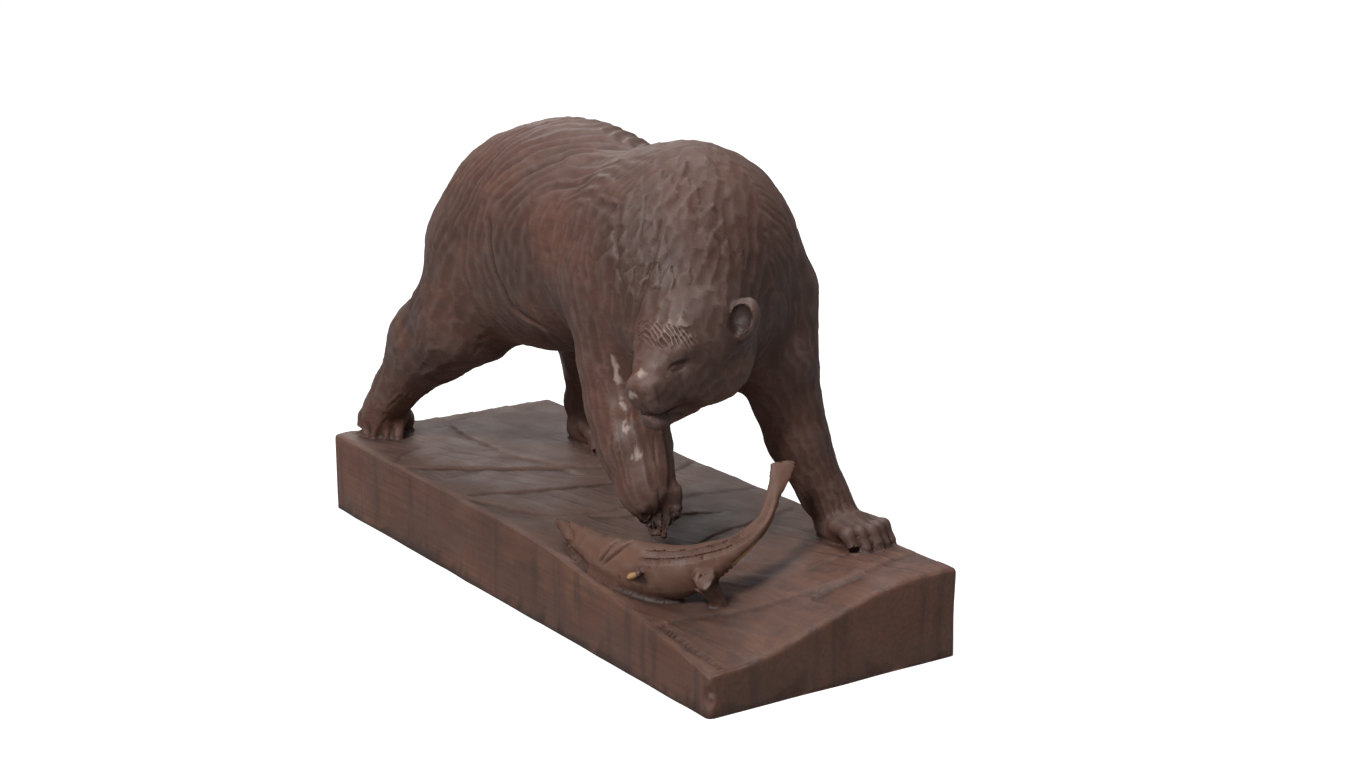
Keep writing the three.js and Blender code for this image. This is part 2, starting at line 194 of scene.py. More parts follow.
def standing_paw(points, paw):
    ahead = unit(paw["forward"])
    up = np.array((0.0, 0.0, 1.0))
    across = np.cross(up, ahead)
    length, width, height = paw["length"], paw["width"], paw["height"]

    def at(out, side, rise):
        return np.asarray(paw["heel"]) + ahead * out + across * side + up * rise

    pad_radii = (length * 0.42, width * 0.44, height * 0.6)
    distance = egg(points, at(length * 0.36, 0, height * 0.42), pad_radii, (ahead, across, up))
    toes = np.full(len(points), FAR_AWAY)
    for toe in TOES:
        reach = length - 3 * abs(toe)
        root = (at(reach * 0.5, toe * width * 0.17, height * 0.66), width * 0.12)
        knuckle = (at(reach * 0.78, toe * width * 0.205, height * 0.6), width * 0.118)
        tip = (at(reach - width * 0.1, toe * width * 0.215, width * 0.1), width * 0.092)
        one = blend(bone(points, root, knuckle), bone(points, knuckle, tip), 3)
        toes = np.minimum(toes, one)
    return blend(distance, toes, 3)


# The head, turned to the bear's right. Its own frame runs forward, left and up from the nose tip.
NOSE_TIP = np.array((-90.0, -165.0, 184.0))
HEAD_FORWARD = unit((-0.89, -0.34, -0.26))
HEAD_LEFT = unit(np.cross((0, 0, 1), HEAD_FORWARD))
HEAD_UP = np.cross(HEAD_FORWARD, HEAD_LEFT)
HEAD_AXES = np.array((HEAD_FORWARD, HEAD_LEFT, HEAD_UP))
BOTH_SIDES = (-1, 1)


def in_head_frame(points):
    return (points - NOSE_TIP) @ HEAD_AXES.T


# The muzzle's tip lies a little to the left of the head's middle
MUZZLE_SHIFT = 3.5
MOUTH_DEPTH = 2.6
EYE_SOCKET_DEPTH = 1.6
NOSTRIL_DEPTH = 0.9


def head(points):
    p = in_head_frame(points)
    ahead, left, up = p.T
    distance = egg(p, (-74, 0, 8), (44, 39, 38))
    distance = blend(distance, egg(p, (-52, 0, 20), (27, 25, 17)), 10)
    distance = blend(distance, egg(p, (-34, 0, 9), (19, 18, 11)), 8)
    distance = blend(distance, bone(p, ((-42, 0, 1), 20), ((-15, MUZZLE_SHIFT, -4), 15)), 10)
    for side in BOTH_SIDES:
        root = (-40, side * 12, -8)
        tip = (-12, MUZZLE_SHIFT + side * 6, -4)
        distance = blend(distance, bone(p, (root, 13.5), (tip, 10)), 6)
    distance = blend(distance, bone(p, ((-46, 0, -23), 16), ((-14, MUZZLE_SHIFT, -22), 9.5)), 4)
    distance = blend(distance, egg(p, (-7, MUZZLE_SHIFT, 3), (6, 10, 6)), 8)
    for side in BOTH_SIDES:
        distance = blend(distance, egg(p, (-62, side * 22, -8), (28, 18, 22)), 14)
        distance = blend(distance, egg(p, (-41, side * 14, 18), (12, 9, 6)), 7)
    socket = np.hypot((ahead + 28.0) / 9.0, (up - 10.5) / 4.5)
    distance = distance + EYE_SOCKET_DEPTH * (1.0 - smoothstep(0.0, 1.0, socket)) * (np.abs(left) > 6.0)
    for side in BOTH_SIDES:
        nostril = np.linalg.norm((p - (-1, MUZZLE_SHIFT + side * 6, 1)) / (3, 2, 1.6), axis=1)
        distance = distance + NOSTRIL_DEPTH * (1.0 - smoothstep(0.0, 1.2, nostril))
    cheek_plane = 0.92 * (np.abs(left - MUZZLE_SHIFT) - 11.5 - 0.42 * np.maximum(-ahead - 6.0, 0.0))
    front_plane = 0.96 * (ahead - 0.5) - 0.27 * (up - 3.0)
    distance = carve_out(distance, -np.maximum(cheek_plane, front_plane), 3)
    slit = np.abs(up + 19.5 - 0.42 * (ahead + 13.0))
    return distance + MOUTH_DEPTH * np.clip(1.0 - slit / 1.7, 0.0, 1.0) * smoothstep(-34.0, -24.0, ahead)


# The left ear in the head's frame: the way its cup opens, its height's way, its middle and its half
# sizes out, across and tall. The right ear is its mirror image.
EAR_OUT = (0.87, 0.17, 0.47)
EAR_TALL = (-0.64, 0.21, 0.73)
EAR_MIDDLE = (-73.0, 40.5, 24.0)
EAR_RADII = (9, 11, 15.5)
HOLLOW_OUT = 15.0
HOLLOW_RADII = (15, 8.8, 13)


def ear_axes(side):
    mirrored = np.array((1.0, side, 1.0))
    out = unit(EAR_OUT * mirrored)
    across = unit(np.cross(EAR_TALL * mirrored, out))
    return out, across, np.cross(out, across), EAR_MIDDLE * mirrored


def ears(points):
    p = in_head_frame(points)
    distance = np.full(len(points), FAR_AWAY)
    for side in BOTH_SIDES:
        out, across, tall, middle = ear_axes(side)
        axes = (out, across, tall)
        cup = egg(p, middle, EAR_RADII, axes)
        hollow = egg(p, middle + out * HOLLOW_OUT + across, HOLLOW_RADII, axes)
        distance = np.minimum(distance, carve_out(cup, hollow, 1.5))
    return distance


def head_with_ears(points):
    return blend(head(points), ears(points), 4)


# The right forepaw hangs over the fish, its claws broken short
WRIST = np.array((-53.0, -127.0, 110.0))
PAW_ACROSS = unit((0.83, -0.56, 0))
PAW_DOWN = unit((0.02, -0.42, -0.9))

# How far each toe reaches below the wrist, from the one nearest the fish's head
TOE_REACH = (25, 34, 35, 27, 22)


def at_wrist(out, side):
    return WRIST + PAW_DOWN * out + PAW_ACROSS * side


def paw_toes():
    return [
        ((at_wrist(6, 1 + toe * 6.6), 7.0), (at_wrist(reach, 1 + toe * 6.0), 3.4))
        for toe, reach in zip(TOES, TOE_REACH)
    ]


def raised_paw(points):
    axes = (PAW_ACROSS, np.cross(PAW_DOWN, PAW_ACROSS), PAW_DOWN)
    distance = egg(points, at_wrist(-2, 0.5), (16.5, 15, 25), axes)
    toes = np.minimum.reduce([bone(points, start, end) for start, end in paw_toes()])
    broken = 0.9 * np.abs(noise(points, 9.0, 3)) * smoothstep(14.0, 24.0, (points - WRIST) @ PAW_DOWN)
    return blend(distance, toes, 3) + broken


# The fish: its spine bends round in front of the bear and its tail stands up
FISH_SPINE = (
    (-80, -52, 68),
    (-84, -95, 66),
    (-82, -143, 62),
    (-65, -180, 66),
    (-40, -197, 75),
    (-7, -193, 90),
    (15, -178, 109),
    (27, -168, 124),
)
FISH_SAMPLES = 90
# The side away from the bear's right, which turns as the fish bends
FISH_FAR_SIDE_AT_HEAD = np.array((1.0, 0.0, 0.1))
FISH_FAR_SIDE_AT_TAIL = np.array((0.5, 0.85, -0.15))
# Half height and half thickness from the snout to the tail's tip
FISH_HEIGHTS = (3, 9, 13, 17, 21, 19, 16, 10, 7, 6.5, 10)
FISH_WIDTHS = (2.5, 7, 10, 11.5, 12, 11, 9, 7, 4.5, 3, 2.2)
# Between 1, a section with four flat sides, and 2, an oval one
FISH_SECTION = 1.7
CURVE_STEPS = 24


def smooth_curve(knots, count):
    """Points evenly spaced along a smooth curve through the knots."""
    knots = np.asarray(knots, float)
    knots = np.vstack((2 * knots[0] - knots[1], knots, 2 * knots[-1] - knots[-2]))
    dense = []
    for a, b, c, d in zip(knots[:-3], knots[1:-2], knots[2:-1], knots[3:]):
        t = np.linspace(0.0, 1.0, CURVE_STEPS, endpoint=False)[:, None]
        bend = (2 * a - 5 * b + 4 * c - d) * t**2 + (3 * b - a - 3 * c + d) * t**3
        dense.append(b + 0.5 * ((c - a) * t + bend))
    dense = np.vstack(dense + [knots[-2][None, :]])
    run = np.concatenate(((0.0,), np.cumsum(np.linalg.norm(np.diff(dense, axis=0), axis=1))))
    wanted = np.linspace(0.0, run[-1], count)
    return np.stack([np.interp(wanted, run, dense[:, axis]) for axis in range(3)], axis=1)


fish_line = smooth_curve(FISH_SPINE, FISH_SAMPLES)
fish_ahead = unit(np.gradient(fish_line, axis=0))
fish_share = np.linspace(0.0, 1.0, FISH_SAMPLES)
far_side = FISH_FAR_SIDE_AT_HEAD + (FISH_FAR_SIDE_AT_TAIL - FISH_FAR_SIDE_AT_HEAD) * fish_share[:, None]
fish_across = unit(far_side - fish_ahead * np.sum(far_side * fish_ahead, axis=1, keepdims=True))
fish_up = np.cross(fish_ahead, fish_across)
fish_length = np.linalg.norm(np.diff(fish_line, axis=0), axis=1).sum()


def in_fish_frame(points):
    """Share of the way from snout to tail, then the offset to the far side, up, and past an end."""
    nearest = np.zeros(len(points), int)
    best = np.full(len(points), np.inf)
    for index, place in enumerate(fish_line):
        gap = np.sum((points - place) ** 2, axis=1)
        closer = gap < best
        nearest[closer] = index
        best[closer] = gap[closer]
    offset = points - fish_line[nearest]
    along = np.sum(offset * fish_ahead[nearest], axis=1)
    share = nearest / (FISH_SAMPLES - 1) + along / fish_length
    past = np.maximum(np.maximum(-share, share - 1.0), 0.0) * fish_length
    across = np.sum(offset * fish_across[nearest], axis=1)
    up = np.sum(offset * fish_up[nearest], axis=1)
    return np.clip(share, 0.0, 1.0), across, up, past


def fish_size(share):
    knots = np.linspace(0.0, 1.0, len(FISH_HEIGHTS))
    return np.interp(share, knots, FISH_HEIGHTS), np.interp(share, knots, FISH_WIDTHS)


# Fins broken off short, each a bar between two places
FISH_STUBS = (
    (((-88, -157, 60), 2.6), ((-91, -172, 67), 2.2)),
    (((-52, -192, 70), 8), ((-59, -200, 65), 7.5)),
    (((-58, -195, 60), 5), ((-45, -199, 44), 2.6)),
    (((-50, -194, 62), 5), ((-43, -199, 44), 2.6)),
)
# Flat breaks on the fin under the belly: the way each faces and how far it stands from the middle
BREAK_MIDDLE = (-58, -199, 65)
BREAKS = (
    ((-0.5, -0.8, 0.33), 5.5),
    ((-0.2, -0.45, 0.87), 6.0),
    ((-0.75, 0.35, -0.55), 6.5),
    ((0.5, -0.75, -0.43), 6.0),
)
BREAK_REACH = 14.0
BREAK_BOTTOM = 57.0
# Long lines cut along the near side: height over half the fish's own, first and last share, depth
FISH_LINES = (
    (0.74, 0.42, 0.80, 1.4),
    (0.48, 0.42, 0.90, 1.4),
    (-0.5, 0.02, 0.40, 1.5),
)
FISH_LINE_REACH = 2.2
# Two cuts behind the fish's head, each through four places
GILLS = (
    ((-78, -137, 85), (-86, -138, 79), (-94, -134, 71), (-99, -129, 61)),
    ((-75, -150, 87), (-85, -149, 81), (-94, -142, 72), (-100, -133, 61)),
)


def cut_line(height, middle, reach, share, first, last, depth):
    ends = smoothstep(first, first + 0.04, share) * (1.0 - smoothstep(last - 0.06, last, share))
    return depth * np.clip(1.0 - np.abs(height - middle) / reach, 0.0, 1.0) * ends


def fish(points):
    share, across, up, past = in_fish_frame(points)
    half_height, half_width = fish_size(share)
    thinner = 0.45 * smoothstep(0.5, 0.68, share) * (1.0 - smoothstep(0.88, 1.0, share))
    half_height = half_height * np.where(up < 0, 1.0 - thinner, 1.0)
    in_widths = np.abs(across / half_width) ** FISH_SECTION
    in_heights = np.abs(up / half_height) ** FISH_SECTION
    reach = (in_widths + in_heights) ** (1 / FISH_SECTION)
    steepness = np.hypot(across / half_width**2, up / half_height**2)
    distance = reach * (reach - 1.0) / np.maximum(steepness, 1e-6)
    torn = (share - 0.99 + 0.014 * up / half_height) * fish_length
    past = np.maximum(past, np.where(share > 0.85, np.maximum(torn, 0.0), 0.0))
    distance = np.where(past > 0.0, np.hypot(np.maximum(distance, 0.0), past), distance)
    near_side = across < 2.0
    for line, first, last, depth in FISH_LINES:
        distance += near_side * cut_line(up, line * half_height, FISH_LINE_REACH, share, first, last, depth)
    mouth = np.abs(np.hypot((share - 0.085) / 0.07, (up - 2.0) / 5.0) - 1.0)
    distance += near_side * 1.3 * np.clip(1.0 - mouth / 0.3, 0.0, 1.0)
    fins = np.minimum.reduce([bone(points, start, end) for start, end in FISH_STUBS])
    broken = np.max([(points - BREAK_MIDDLE) @ unit(way) - away for way, away in BREAKS], axis=0)
    near_break = np.linalg.norm(points - BREAK_MIDDLE, axis=1) < BREAK_REACH
    fins = np.where(near_break & (points[:, 2] > BREAK_BOTTOM), np.maximum(fins, broken), fins)
    return blend(distance, fins, 1.2)


# Height of the carved ground. It drops towards the front corner at the bear's right.
GROUND_DROP = 33.0

# Steps that broad gouge cuts leave in the ground: a line from one end to the other, the depth of
# the step on the line's right, and how far the cut runs before it is level again
GROUND_CUTS = (
    ((-100, 150), (40, 60), 2.4, 60),
    ((-100, 60), (30, 20), 1.6, 70),
    ((-60, -20), (100, -40), 1.1, 60),
    ((-20, -120), (100, -95), 1.0, 55),
    ((-95, -195), (40, -235), 1.7, 60),
)
# Shorter and shallower steps between them
FINE_GROUND_CUTS = (
    ((-12, 240), (-16, 140), 2.0, 45),
    ((-16, 140), (12, 58), 1.6, 40),
    ((-95, 58), (-62, -22), 2.2, 34),
    ((-50, 110), (-92, 104), 1.6, 30),
    ((95, 120), (20, 210), 1.8, 50),
    ((30, 20), (100, 40), 1.8, 45),
    ((-40, -30), (40, -75), 1.5, 35),
    ((20, -205), (100, -190), 1.2, 45),
    ((0, -235), (92, -225), 1.8, 30),
    ((-62, 190), (-100, 160), 1.5, 30),
    ((40, 262), (-20, 232), 1.6, 40),
    ((-98, -90), (-60, -150), 1.4, 30),
)


def cut_depth(x, y, start, end, depth, run):
    length = math.hypot(end[0] - start[0], end[1] - start[1])
    ahead = ((end[0] - start[0]) / length, (end[1] - start[1]) / length)
    share = ((x - start[0]) * ahead[0] + (y - start[1]) * ahead[1]) / length
    wander = 1.6 * np.sin(share * 9.0 + start[0]) + 1.4 * np.abs(np.sin(share * 8.0 + start[1]))
    beside = (x - start[0]) * ahead[1] - (y - start[1]) * ahead[0] + wander
    ends = smoothstep(-0.15, 0.15, share) * (1.0 - smoothstep(0.8, 1.15, share))
    lip = smoothstep(0.0, 1.4, beside)
    return depth * ends * lip * np.clip(1.0 - beside / run, 0.0, 1.0)


def ground_height(x, y):
    across = np.clip(x / PLINTH_WIDTH + 0.5, 0.0, 1.0)
    ahead = np.clip(-y / (PLINTH_LENGTH / 2), 0.0, 1.0)
    drop = GROUND_DROP * (1.0 - smoothstep(0.05, 0.85, across)) * ahead**1.6
    edge = np.maximum(np.abs(x) / (PLINTH_WIDTH / 2), np.abs(y) / (PLINTH_LENGTH / 2))
    cuts = sum(cut_depth(x, y, *cut) for cut in GROUND_CUTS + FINE_GROUND_CUTS)
    return PLINTH_HEIGHT - drop - cuts * (1.0 - 0.75 * smoothstep(0.88, 1.0, edge))


ARRIS_ROUNDING = 5.0
# The walls stand back a little from the full size, so that their unevenness stays within it
WALL_INSET = 0.8
WALL_UNEVENNESS = 0.35
# A chip knocked off the corner nearest the fish
CORNER_CHIP = (-104, -268, 14)
CHIP_RADIUS = 11


def plinth(points):
    x, y, z = points.T
    planes = noise(points, 60.0, 1)
    side = np.abs(x) - PLINTH_WIDTH / 2 + WALL_INSET + WALL_UNEVENNESS * planes
    end = np.abs(y) - PLINTH_LENGTH / 2 + WALL_INSET + WALL_UNEVENNESS * planes
    walls = carve_out(side, -end, ARRIS_ROUNDING)
    walls = carve_out(walls, ball(points, CORNER_CHIP, CHIP_RADIUS), 1)
    top = z - ground_height(x, y)
    return carve_out(walls, -top, ARRIS_ROUNDING)


# Each mass: its distance, and two corners of the room that the distance is worked out in
MASSES = {
    "torso": (torso, (-115, -215, 120), (120, 290, 350)),
    "hind_right": (partial(limb, joints=HIND_RIGHT_LEG), (-115, 40, 40), (40, 275, 290)),
    "hind_left": (partial(limb, joints=HIND_LEFT_LEG), (-30, 40, 40), (110, 215, 290)),
    "fore_right": (partial(limb, joints=FORE_RIGHT_LEG), (-100, -160, 75), (20, -15, 290)),
    "fore_left": (partial(limb, joints=FORE_LEFT_LEG), (5, -200, 40), (120, -60, 275)),
    "head": (head_with_ears, (-115, -225, 115), (60, -60, 275)),
    "raised_paw": (raised_paw, (-95, -180, 55), (-5, -85, 150)),
    "fish": (fish, (-120, -235, 25), (60, -30, 150)),
    "plinth": (plinth, (-110, -275, -10), (110, 275, 75)),
}
ROOM_BELOW_HEEL = (80, 90, 45)
ROOM_ABOVE_HEEL = (80, 90, 60)
for number, paw in enumerate(STANDING_PAWS):
    heel = np.array(paw["heel"])
    room = (heel - ROOM_BELOW_HEEL, heel + ROOM_ABOVE_HEEL)
    MASSES[f"paw_{number}"] = (partial(standing_paw, paw=paw), *room)

LEG_BLEND = 12
RAISED_PAW_BLEND = 9
PAW_BLEND = 5
HEAD_BLEND = 3


def distances(points):
    found = {}
    for name, (field, low, high) in MASSES.items():
        near = np.all((points > low) & (points < high), axis=1)
        found[name] = np.full(len(points), FAR_AWAY)
        if near.any():
            found[name][near] = field(points[near])
    return found


def whole(points):
    found = distances(points)
    legs = np.minimum.reduce([found[name] for name in LEGS])
    paws = np.minimum.reduce([found[f"paw_{number}"] for number in range(len(STANDING_PAWS))])
    body = blend(found["torso"], legs, LEG_BLEND)
    body = blend(body, found["raised_paw"], RAISED_PAW_BLEND)
    body = blend(body, paws, PAW_BLEND)
    body = blend(body, found["head"], HEAD_BLEND)
    return np.minimum.reduce([body, found["fish"], found["plinth"]])


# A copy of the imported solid, remeshed finely
VOXEL = 1.5
WELD = 1e-5
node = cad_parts["bear_with_fish_on_plinth"]
carving = bpy.data.objects.new("carved_bear_and_fish", node.data.copy())
bpy.context.collection.objects.link(carving)
carving.select_set(True)
bpy.context.view_layer.objects.active = carving
bpy.ops.object.mode_set(mode="EDIT")
bpy.ops.mesh.select_all(action="SELECT")
bpy.ops.mesh.remove_doubles(threshold=WELD)
bpy.ops.object.mode_set(mode="OBJECT")


def apply_modifier(piece, kind, **settings):
    modifier = piece.modifiers.new(kind.title(), kind)
    for name, value in settings.items():
        setattr(modifier, name, value)
    bpy.context.view_layer.objects.active = piece
    bpy.ops.object.modifier_apply(modifier=modifier.name)


def read_points(mesh):
    flat = np.empty(len(mesh.vertices) * 3)
    mesh.vertices.foreach_get("co", flat)
    return flat.reshape(-1, 3) / MM


def read_normals(mesh):
    flat = np.empty(len(mesh.vertices) * 3, np.float32)
    mesh.vertex_normals.foreach_get("vector", flat)
    return flat.reshape(-1, 3).astype(float)


def write_points(mesh, points):
    mesh.vertices.foreach_set("co", (points * MM).ravel())
    mesh.update()


def read_edges(mesh):
    flat = np.empty(len(mesh.edges) * 2, np.int64)
    mesh.edges.foreach_get("vertices", flat)
    return flat.reshape(-1, 2)


def relaxed(points, edges, rounds, share=0.5):
    """The points after each has moved some rounds towards the middle of its neighbours."""
    count = np.bincount(edges.ravel(), minlength=len(points))[:, None]
    for _ in range(rounds):
        total = np.zeros_like(points)
        for axis in range(3):
            total[:, axis] += np.bincount(edges[:, 0], points[edges[:, 1], axis], len(points))
            total[:, axis] += np.bincount(edges[:, 1], points[edges[:, 0], axis], len(points))
        points = points + share * (total / count - points)
    return points


# Lumps of wood that the ears, the claws and the fins are cut from, joined on before the remesh
def add_lump(piece, middle, radii, axes):
    bpy.ops.object.select_all(action="DESELECT")
    bpy.ops.mesh.primitive_ico_sphere_add(subdivisions=3, radius=MM)
    lump = bpy.context.object
    round_points = read_points(lump.data)
    write_points(lump.data, np.asarray(middle, float) + (round_points * radii) @ np.asarray(axes, float))
    piece.select_set(True)
    bpy.context.view_layer.objects.active = piece
    bpy.ops.object.join()


def bar_lump(piece, start, end):
    (from_point, from_radius), (to_point, to_radius) = start, end
    along = np.subtract(to_point, from_point).astype(float)
    half = np.linalg.norm(along) / 2
    ahead = unit(along)
    across = unit(np.cross(ahead, (0.3, 0.9, 0.2)))
    thick = max(from_radius, to_radius)
    middle = (np.asarray(from_point, float) + to_point) / 2
    add_lump(piece, middle, (half + to_radius, thick, thick), (ahead, across, np.cross(ahead, across)))


for side in BOTH_SIDES:
    out, across, tall, middle = ear_axes(side)
    world_axes = np.array((out, across, tall)) @ HEAD_AXES
    add_lump(carving, NOSE_TIP + middle @ HEAD_AXES, EAR_RADII, world_axes)
for start, end in paw_toes():
    bar_lump(carving, start, end)
for start, end in FISH_STUBS:
    bar_lump(carving, start, end)

apply_modifier(carving, "REMESH", mode="VOXEL", voxel_size=VOXEL * MM, adaptivity=0.0)

# Rooms of the face, the paws and the fish, where the skin is divided more finely
FINE_ROOMS = (
    ((-101, -268, 22), (-68, -194, 52)),
    ((-100, -210, 130), (5, -110, 262)),
    ((-90, -175, 78), (-15, -95, 125)),
    ((45, -222, 60), (100, -165, 88)),
    ((-98, 218, 60), (-30, 265, 95)),
    ((36, 78, 60), (92, 158, 95)),
    ((-110, -215, 55), (45, -40, 140)),
)


def refine(piece, rooms):
    """Divides the faces inside the rooms once, with every edge cut in two."""
    skin = piece.data
    middles = np.empty(len(skin.polygons) * 3)
    skin.polygons.foreach_get("center", middles)
    middles = middles.reshape(-1, 3) / MM
    inside = np.zeros(len(middles), bool)
    for low, high in rooms:
        inside |= np.all((middles > low) & (middles < high), axis=1)
    skin.vertices.foreach_set("select", np.zeros(len(skin.vertices), bool))
    skin.edges.foreach_set("select", np.zeros(len(skin.edges), bool))
    skin.polygons.foreach_set("select", inside)
    bpy.context.view_layer.objects.active = piece
    bpy.ops.object.mode_set(mode="EDIT")
    bpy.ops.mesh.select_mode(type="FACE")
    bpy.ops.mesh.subdivide(number_cuts=1)
    bpy.ops.object.mode_set(mode="OBJECT")


refine(carving, FINE_ROOMS)

# Every point is drawn onto the carver's full forms, a little at a time
SNAP_ROUNDS = 9
SNAP_STEP = 2.5
SLOPE_REACH = 0.2
CLOSE_ENOUGH = 0.05
LEAST_STEEPNESS = 0.25
SOFTENING = 0.3


def drawn_onto(points, field, rounds):
    points = points.copy()
    left = np.arange(len(points))
    for _ in range(rounds):
        there = points[left]
        value = field(there)
        off = np.abs(value) > CLOSE_ENOUGH
        left, there, value = left[off], there[off], value[off]
        slope = np.empty_like(there)
        for axis in range(3):
            ahead = there.copy()
            ahead[:, axis] += SLOPE_REACH
            slope[:, axis] = (field(ahead) - value) / SLOPE_REACH
        steep = np.maximum(np.sum(slope * slope, axis=1), LEAST_STEEPNESS)
        move = np.clip(-value / steep, -SNAP_STEP, SNAP_STEP)
        points[left] = there + slope * move[:, None]
    return points


mesh = carving.data
edges = read_edges(mesh)
start = read_points(mesh)
underside = start[:, 2] < 1.0
snapped = drawn_onto(start, whole, SNAP_ROUNDS)
snapped = relaxed(snapped, edges, 1, SOFTENING)
snapped[underside, 2] = 0.0
write_points(mesh, snapped)

# Gouge strokes: each is a shallow scoop laid along the flow of the fur, and where two scoops meet
# a crest is left between them
CELL = 10.0
BESIDE = (-1, 0, 1)
CELLS_AROUND = [(i, j, k) for i in BESIDE for j in BESIDE for k in BESIDE]


def hash_cells(points):
    """Indices of the points in each cell of a coarse grid."""
    cells = np.floor(points / CELL).astype(int)
    order = np.lexsort(cells.T)
    ordered = cells[order]
    breaks = np.flatnonzero(np.any(np.diff(ordered, axis=0) != 0, axis=1)) + 1
    groups = np.split(order, breaks)
    starts = np.concatenate(((0,), breaks))
    return {tuple(ordered[start]): group for start, group in zip(starts, groups)}


def near_points(cells, centre, reach):
    low = np.floor((centre - reach) / CELL).astype(int)
    high = np.floor((centre + reach) / CELL).astype(int)
    found = [
        cells[key]
        for key in (
            (i, j, k)
            for i in range(low[0], high[0] + 1)
            for j in range(low[1], high[1] + 1)
            for k in range(low[2], high[2] + 1)
        )
        if key in cells
    ]
    return np.concatenate(found) if found else np.empty(0, int)


def is_clear(points, index, key, taken, ahead, across, length, width):
    """True where no place taken so far is too near."""
    place = points[index]
    for i, j, k in CELLS_AROUND:
        for other in taken.get((key[0] + i, key[1] + j, key[2] + k), ()):
            gap = points[other] - place
            along = gap @ ahead / length
            beside = gap @ across / width
            if along * along + beside * beside < 1.0:
                return False
    return True


# Every point is tried where a stroke keeps up to this area clear, and fewer for a larger stroke
ALL_TRIED_AREA = 60.0


def spread_seeds(points, normals, directions, chosen, length, width, seed):
    """Points spread evenly over the chosen ones, further apart along the flow than across it."""
    order = np.random.default_rng(SEED + seed).permutation(chosen)
    order = order[: int(len(order) * min(1.0, ALL_TRIED_AREA / (length * width)))]
    taken = {}
    seeds = []
    across = np.cross(normals, directions)
    for index in order:
        key = tuple(np.floor(points[index] / length).astype(int))
        if is_clear(points, index, key, taken, directions[index], across[index], length, width):
            taken.setdefault(key, []).append(index)
            seeds.append(index)
    return np.array(seeds, int)


def stroke_cuts(points, normals, cells, seeds, flow, length, width, depth, seed):
    """Depth that each point is cut to by scoops laid at the seeds."""
    chance = np.random.default_rng(SEED + seed)
    cuts = np.zeros(len(points))
    for index in seeds:
        centre = points[index]
        normal = normals[index]
        size = chance.uniform(0.75, 1.3)
        half = length * size / 2
        broad = width * chance.uniform(0.8, 1.25) / 2
        deep = depth * chance.uniform(0.6, 1.2)
        ahead = flow(centre[None, :], normal[None, :])[0]
        swing = chance.normal(0.0, 0.09)
        across = np.cross(normal, ahead)
        ahead, across = ahead + across * swing, across - ahead * swing
        further = flow((centre + ahead * half)[None, :], normal[None, :])[0]
        bend = (further @ across) / max(half, 1.0) * 0.5
        near = near_points(cells, centre, half + 1.0)
        offset = points[near] - centre
        along = offset @ ahead / half
        beside = (offset @ across - bend * (along * half) ** 2) / broad
        level = np.abs(offset @ normal)
        inside = (np.abs(along) < 1.0) & (np.abs(beside) < 1.0) & (level < half * 0.6 + 3.0)
        inside &= normals[near] @ normal > 0.2
        hit = near[inside]
        entry = smoothstep(-1.0, -0.25, along[inside])
        leave = 1.0 - smoothstep(0.7, 1.0, along[inside])
        cut = deep * (1.0 - beside[inside] ** 2) * entry * leave
        cuts[hit] = np.maximum(cuts[hit], cut)
    return cuts


def relief_stamps(points, normals, cells, seeds, flow, length, width, height, seed):
    """Height of pointed tufts, each rising along the flow to a tip that stands proud of the next."""
    chance = np.random.default_rng(SEED + seed)
    relief = np.zeros(len(points))
    for index in seeds:
        centre = points[index]
        normal = normals[index]
        size = chance.uniform(0.75, 1.25)
        half = length * size / 2
        broad = width * size * chance.uniform(0.8, 1.2) / 2
        high = height * chance.uniform(0.55, 1.1)
        ahead = flow(centre[None, :], normal[None, :])[0]
        swing = chance.normal(0.0, 0.2)
        across = np.cross(normal, ahead)
        ahead, across = ahead + across * swing, across - ahead * swing
        near = near_points(cells, centre, half + 1.0)
        offset = points[near] - centre
        along = offset @ ahead / half
        beside = offset @ across / broad
        taper = np.where(along > 0.1, (1.0 - along) / 0.9, np.sqrt(np.clip(1.1 + along, 0.0, 1.0)))
        fill = np.abs(beside) / np.maximum(taper, 1e-3)
        inside = (np.abs(along) < 1.0) & (fill < 1.0) & (normals[near] @ normal > 0.2)
        hit = near[inside]
        rise = high * smoothstep(-1.0, 0.6, along[inside]) * (1.0 - 0.35 * fill[inside] ** 2)
        relief[hit] = np.maximum(relief[hit], rise)
    return relief


GROOVE_STEPS = 40


def groove(points, path, width, depth):
    """Depth of a cut that follows a path on the skin, with sloping sides."""
    on_skin = [points[np.argmin(np.sum((points - knot) ** 2, axis=1))] for knot in np.asarray(path, float)]
    line = smooth_curve(on_skin, GROOVE_STEPS)
    gap = np.full(len(points), np.inf)
    share = np.zeros(len(points))
    low = line.min(axis=0) - width
    high = line.max(axis=0) + width
    near = np.flatnonzero(np.all((points > low) & (points < high), axis=1))
    for number, (start, end) in enumerate(zip(line[:-1], line[1:])):
        along = end - start
        t = np.clip((points[near] - start) @ along / (along @ along), 0.0, 1.0)
        distance = np.linalg.norm(points[near] - start - t[:, None] * along, axis=1)
        closer = distance < gap[near]
        gap[near[closer]] = distance[closer]
        share[near[closer]] = (number + t[closer]) / (len(line) - 1)
    fade = smoothstep(0.0, 0.12, share) * (1.0 - smoothstep(0.85, 1.0, share))
    return depth * fade * np.clip(1.0 - gap / (width / 2), 0.0, 1.0) ** 1.2


def tangent(directions, normals):
    return unit(directions - normals * np.sum(directions * normals, axis=1, keepdims=True))


